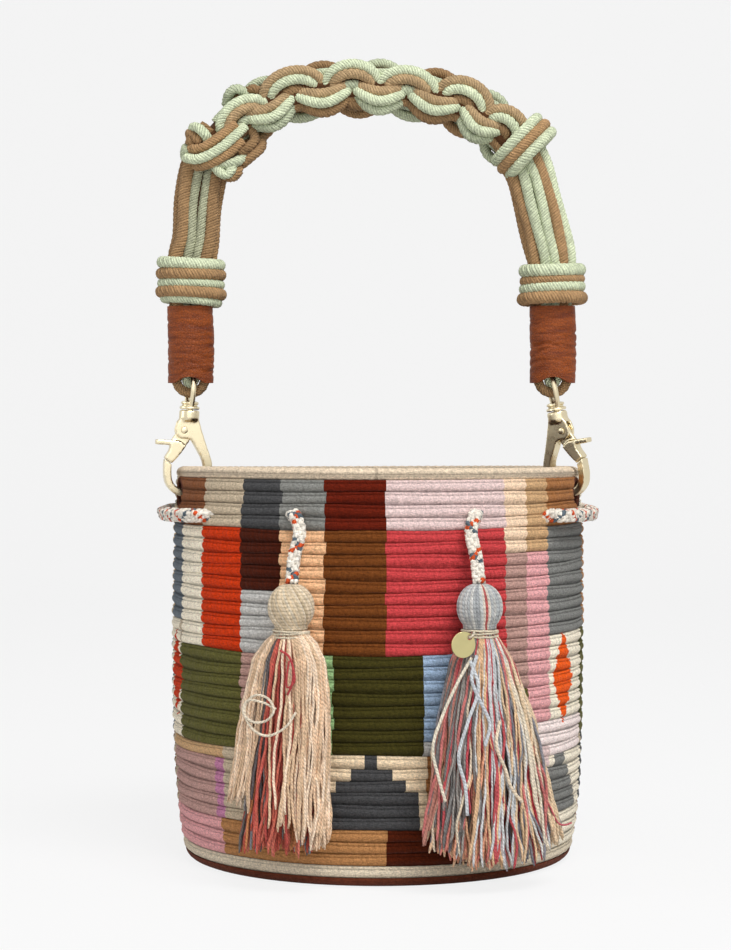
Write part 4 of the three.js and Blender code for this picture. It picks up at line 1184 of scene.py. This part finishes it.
def end_loops(handle, x):
    """A tan rope outside and a mint rope inside, folded through the clasp's eye."""
    a = np.radians(np.linspace(180, 360, 13))
    for colour, half, low in ((TAN, 6.3, LOOP_AT - 1.9), (MINT, 2.0, LOOP_AT + 2.2)):
        tall = max(half, 3.2)
        up = low + tall + tall * np.sin(a)
        arc = np.stack([x + half * np.cos(a), np.full(len(a), HANDLE_Y), up], axis=1)
        ends = [[[x + way * half, HANDLE_Y, FERRULE_LOW + 15]] for way in (-1, 1)]
        lay(through(np.concatenate([ends[0], arc, ends[1]]), 0.62), colour, handle, 0.4, 2.25)


def add_handle():
    handle = Build()
    # Painted shade: a dark core inside the knots shows through the gaps.
    core = on_spine(np.linspace(KNOTS[0] - 20, KNOTS[-1] + 14, 90), np.zeros(90), np.zeros(90))
    handle.add(*tube(core, 6.8, 12), SHADE * 0.7)
    for back, arcs in ((1, FRONT), (-1, REAR)):
        knot_arcs(handle, back, arcs)
        knot_links(handle, back)
    runners(handle)
    left_end(handle)
    right_wrap(handle)
    for side in LEG_ROPES:
        leg(handle, side)
    for x in (LEFT_X, RIGHT_X):
        end_loops(handle, x)
    grip = handle.make("handle_ropes", ROPE)
    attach(grip, "handle")
    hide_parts("handle_cords")


# Collars: the rope wound round the leg. Each turn has a height, half width, radius and colour
COLLARS = {
    "left": [(17.6, 12.6, 2.7, MINT), (12.9, 13.0, 2.7, TAN), (8.6, 12.7, 2.3, MINT), (4.6, 13.2, 2.7, TAN),
             (1.4, 11.6, 2.2, MINT)],
    "right": [(14.6, 12.0, 3.0, MINT), (10.4, 12.3, 2.2, TAN), (6.9, 12.2, 2.6, MINT), (2.2, 12.9, 2.9, TAN)],
}
COLLAR_DEEP = 0.78
COLLAR_LOW = FERRULE_TOP + 1.2


def collar_ring(x, wide, z):
    a = ring_angles(len(z))
    return np.stack([x + wide * np.cos(a), HANDLE_Y + wide * COLLAR_DEEP * np.sin(a), z], axis=1)


def add_collar(side, x, lean):
    wrap = Build()
    a = ring_angles(130)
    for k, (high, wide, thick, colour) in enumerate(COLLARS[side]):
        tilt = lean * np.cos(a) + 0.5 * np.sin(a + k)
        lay(collar_ring(x, wide, COLLAR_LOW + high + tilt * 0.8), colour, wrap, k, thick, True)
        # Painted shade: a dark ring inside each turn shows between the turns.
        shade_ring = collar_ring(x, wide - 3.2, COLLAR_LOW + high + tilt * 0.5)
        wrap.add(*tube(shade_ring[::3], 2.0, 6, closed=True), SHADE * 0.6)
    o = wrap.make(side + "_rope_collar", ROPE)
    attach(o, "handle")
    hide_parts(side + "_collar")


# Leather ferrules: a creased sleeve with a thick cut edge and an arched mouth
SLEEVE_AROUND = 64
SLEEVE_UP = 84
SLEEVE_WIDE = 10.0
SLEEVE_DEEP = 8.3
SLEEVE_T = 1.3
MOUTH_H = 2.6
MOUTH_HALF = 6.9


def creases(aa, uu, r):
    """Three creases that run up the sleeve and fourteen that run round it."""
    crease = np.zeros_like(aa)
    for _ in range(3):
        mid = r.uniform(0, TURN)
        tilt = r.uniform(-1.2, 1.2)
        depth = r.uniform(0.12, 0.28)
        width = r.uniform(0.1, 0.2)
        d = (aa - mid - tilt * (uu - 0.5) + math.pi) % TURN - math.pi
        crease -= depth * np.exp(-(d / width) ** 2) * (0.4 + 0.6 * np.sin(math.pi * uu))
    for k in range(14):
        mid = r.uniform(0.05, 0.95)
        depth = r.uniform(0.2, 0.45)
        wave = r.uniform(0.015, 0.04)
        bend = wave * np.sin(aa * 2 + k) + 0.012 * np.sin(aa * 5 + 2.3 * k)
        crease -= depth * np.exp(-((uu - mid - bend) / 0.02) ** 2) * (0.6 + 0.4 * np.sin(aa + 1.7 * k))
    return crease


def add_ferrule(side, x, seed):
    aa, uu = np.meshgrid(ring_angles(SLEEVE_AROUND), np.linspace(0, 1, SLEEVE_UP))
    swell = 0.35 * np.sin(math.pi * uu) + 0.25 * np.sin(aa * 3 + 4 * uu)
    swell += creases(aa, uu, np.random.default_rng(seed))
    mouth = np.maximum(0, MOUTH_H - MOUTH_H * (np.cos(aa) * SLEEVE_WIDE / MOUTH_HALF) ** 2)
    low = FERRULE_LOW + mouth
    zz = low + (FERRULE_TOP - low) * uu
    sleeve = Build()
    skins = []
    for grow, flip in ((swell, False), (-SLEEVE_T, True)):
        wide = x + (SLEEVE_WIDE + grow) * np.cos(aa)
        deep = HANDLE_Y + (SLEEVE_DEEP + grow) * np.sin(aa)
        skins.append(np.stack([wide, deep, zz], axis=-1))
        sleeve.add(skins[-1].reshape(-1, 3), [quads(SLEEVE_UP, SLEEVE_AROUND, flip=flip)])
    for row, flip in ((0, True), (SLEEVE_UP - 1, False)):
        edge = np.concatenate([skins[0][row], skins[1][row]])
        sleeve.add(edge, [quads(2, SLEEVE_AROUND, flip=flip)])
    o = sleeve.make(side + "_leather_sleeve", LEATHER)
    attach(o, "handle")
    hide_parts(side + "_ferrule")


# Charm thread: from the tassel's binding through the charm's hole, in the right tassel's axes
CHARM_HOLE = np.array([-8.7, -8.2, 106.4])
THREAD = [(3.6, 2.7, 1.2), (2.6, 1.4, 1.9), (2.2, 0.2, 1.8), (1.1, -1.2, 1.2), (0.1, -1.0, 0.2), (0, 0, 0),
          (0, 1.0, -0.2)]


def add_charm_thread():
    place = tassel_axes(RIGHT_TASSEL)
    line = through([place(*(CHARM_HOLE + p)) for p in THREAD], 0.3)
    thread = Build()
    thread.add(*tube(line, 0.5, 8, 2, 0.25, 2.2), srgb("#e6dac4"))
    o = thread.make("charm_tie", YARN)
    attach(o, "bag")
    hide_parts("charm_thread")


# Metal: the clasps and the charm keep the part's own solids, with rounded edges. Sizes in metres
METAL = ("left_hook", "right_hook", "left_gate", "right_gate", "left_eye", "right_eye", "charm_disc")
CAST_VOXEL = 0.00036
EDGE_ROUND = 0.00035


def round_cast(o):
    """Rounds a hook or gate all over, as a casting is."""
    skin = o.modifiers.new("cast", "REMESH")
    skin.mode = "VOXEL"
    skin.voxel_size = CAST_VOXEL
    skin.use_smooth_shade = True
    soft = o.modifiers.new("soft", "SMOOTH")
    soft.factor = 0.5
    soft.iterations = 5


def round_edges(o):
    bevel = o.modifiers.new("edges", "BEVEL")
    bevel.width = EDGE_ROUND
    bevel.segments = 2
    bevel.limit_method = "ANGLE"
    bevel.angle_limit = math.radians(35)
    bevel.harden_normals = False
    normals = o.modifiers.new("normals", "WEIGHTED_NORMAL")
    normals.keep_sharp = True


def finish_metal(name, o):
    material = GOLD
    if name.endswith("spring"):
        material = STEEL
    if name == "charm_disc":
        material = SHADED_CHARM_GOLD
    o.data.materials.clear()
    o.data.materials.append(material)
    o.data.polygons.foreach_set("use_smooth", np.full(len(o.data.polygons), True))
    weld = o.modifiers.new("weld", "WELD")
    weld.merge_threshold = 0.00001
    if name.endswith(("hook", "gate")):
        round_cast(o)
    elif not name.endswith("spring"):
        round_edges(o)


# Stage: a pale floor that runs up into a backdrop, which looks white and keeps the shadow
FLOOR_HALF = 3000.0
FLOOR_FRONT = -1500
FLOOR_BACK = 1500
SWEEP_R = 700
SWEEP_TOP = 3200


def floor_material():
    material, nt, shader = new_material("floor")
    put(shader, {"Base Color": (0.75, 0.75, 0.75, 1), "Roughness": 0.9, "Specular IOR Level": 0.0})
    glow = nt.nodes.new("ShaderNodeEmission")
    glow.inputs["Strength"].default_value = 0.985
    mix = nt.nodes.new("ShaderNodeMixShader")
    nt.links.new(calc(nt, "MULTIPLY", seen_rays(nt), 0.85), mix.inputs[0])
    nt.links.new(shader.outputs[0], mix.inputs[1])
    nt.links.new(glow.outputs[0], mix.inputs[2])
    nt.links.new(mix.outputs[0], nt.nodes["Material Output"].inputs[0])
    return material


def add_floor():
    bend = np.radians(np.linspace(-90, 0, 16))
    profile = [(FLOOR_FRONT, 0)]
    profile += [(FLOOR_BACK + SWEEP_R * math.cos(a), SWEEP_R + SWEEP_R * math.sin(a)) for a in bend]
    profile += [(FLOOR_BACK + SWEEP_R, SWEEP_TOP)]
    points = [(x, y, z) for y, z in profile for x in (-FLOOR_HALF, FLOOR_HALF)]
    faces = [[2 * k, 2 * k + 1, 2 * k + 3, 2 * k + 2] for k in range(len(profile) - 1)]
    sweep = Build()
    sweep.add(points, [faces])
    floor = sweep.make("floor", floor_material())


def add_world():
    """A soft light all round, which looks paler to the camera and in reflections."""
    world = bpy.data.worlds.new("studio")
    bpy.context.scene.world = world
    world.use_nodes = True
    nt = world.node_tree
    sky = nt.nodes["Background"]
    sky.inputs[0].default_value = (1, 1, 1, 1)
    pale = calc(nt, "ADD", calc(nt, "MULTIPLY", seen_rays(nt), 0.64), 0.28)
    nt.links.new(pale, sky.inputs[1])


def add_lamp(name, at, to, wide, high, watts):
    light = bpy.data.lights.new(name, "AREA")
    light.shape = "RECTANGLE"
    light.size = wide
    light.size_y = high
    light.energy = watts
    lamp = bpy.data.objects.new(name, light)
    bpy.context.scene.collection.objects.link(lamp)
    lamp.location = at
    aim(lamp, to)


# The scene, piece by piece
add_camera()
add_drawstring()
add_wall()
add_inside()
add_rim()
add_tassel("left", LEFT_TASSEL, LEFT_SKIRT, LEFT_HEAD, pick_left, 11)
add_tassel("right", RIGHT_TASSEL, RIGHT_SKIRT, RIGHT_HEAD, pick_right, 23)
add_handle()
add_collar("left", LEFT_X + 0.3, -0.9)
add_collar("right", RIGHT_X - 0.2, 0.35)
add_ferrule("left", LEFT_X, 1)
add_ferrule("right", RIGHT_X, 2)
add_charm_thread()
for node_name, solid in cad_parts.items():
    if node_name.startswith(METAL):
        finish_metal(node_name, solid)
add_floor()
add_world()
add_lamp("key", (0.5, -0.9, 1.6), (0, 0, 0.18), 1.0, 0.7, 24)
add_lamp("front", (0.25, -2.2, 0.9), (0, 0, 0.2), 2.4, 1.6, 15)
add_lamp("side", (-1.4, -0.35, 0.65), (0, 0, 0.2), 0.7, 1.0, 4)
scene = bpy.context.scene
scene.view_settings.view_transform = "Standard"
scene.view_settings.look = "None"
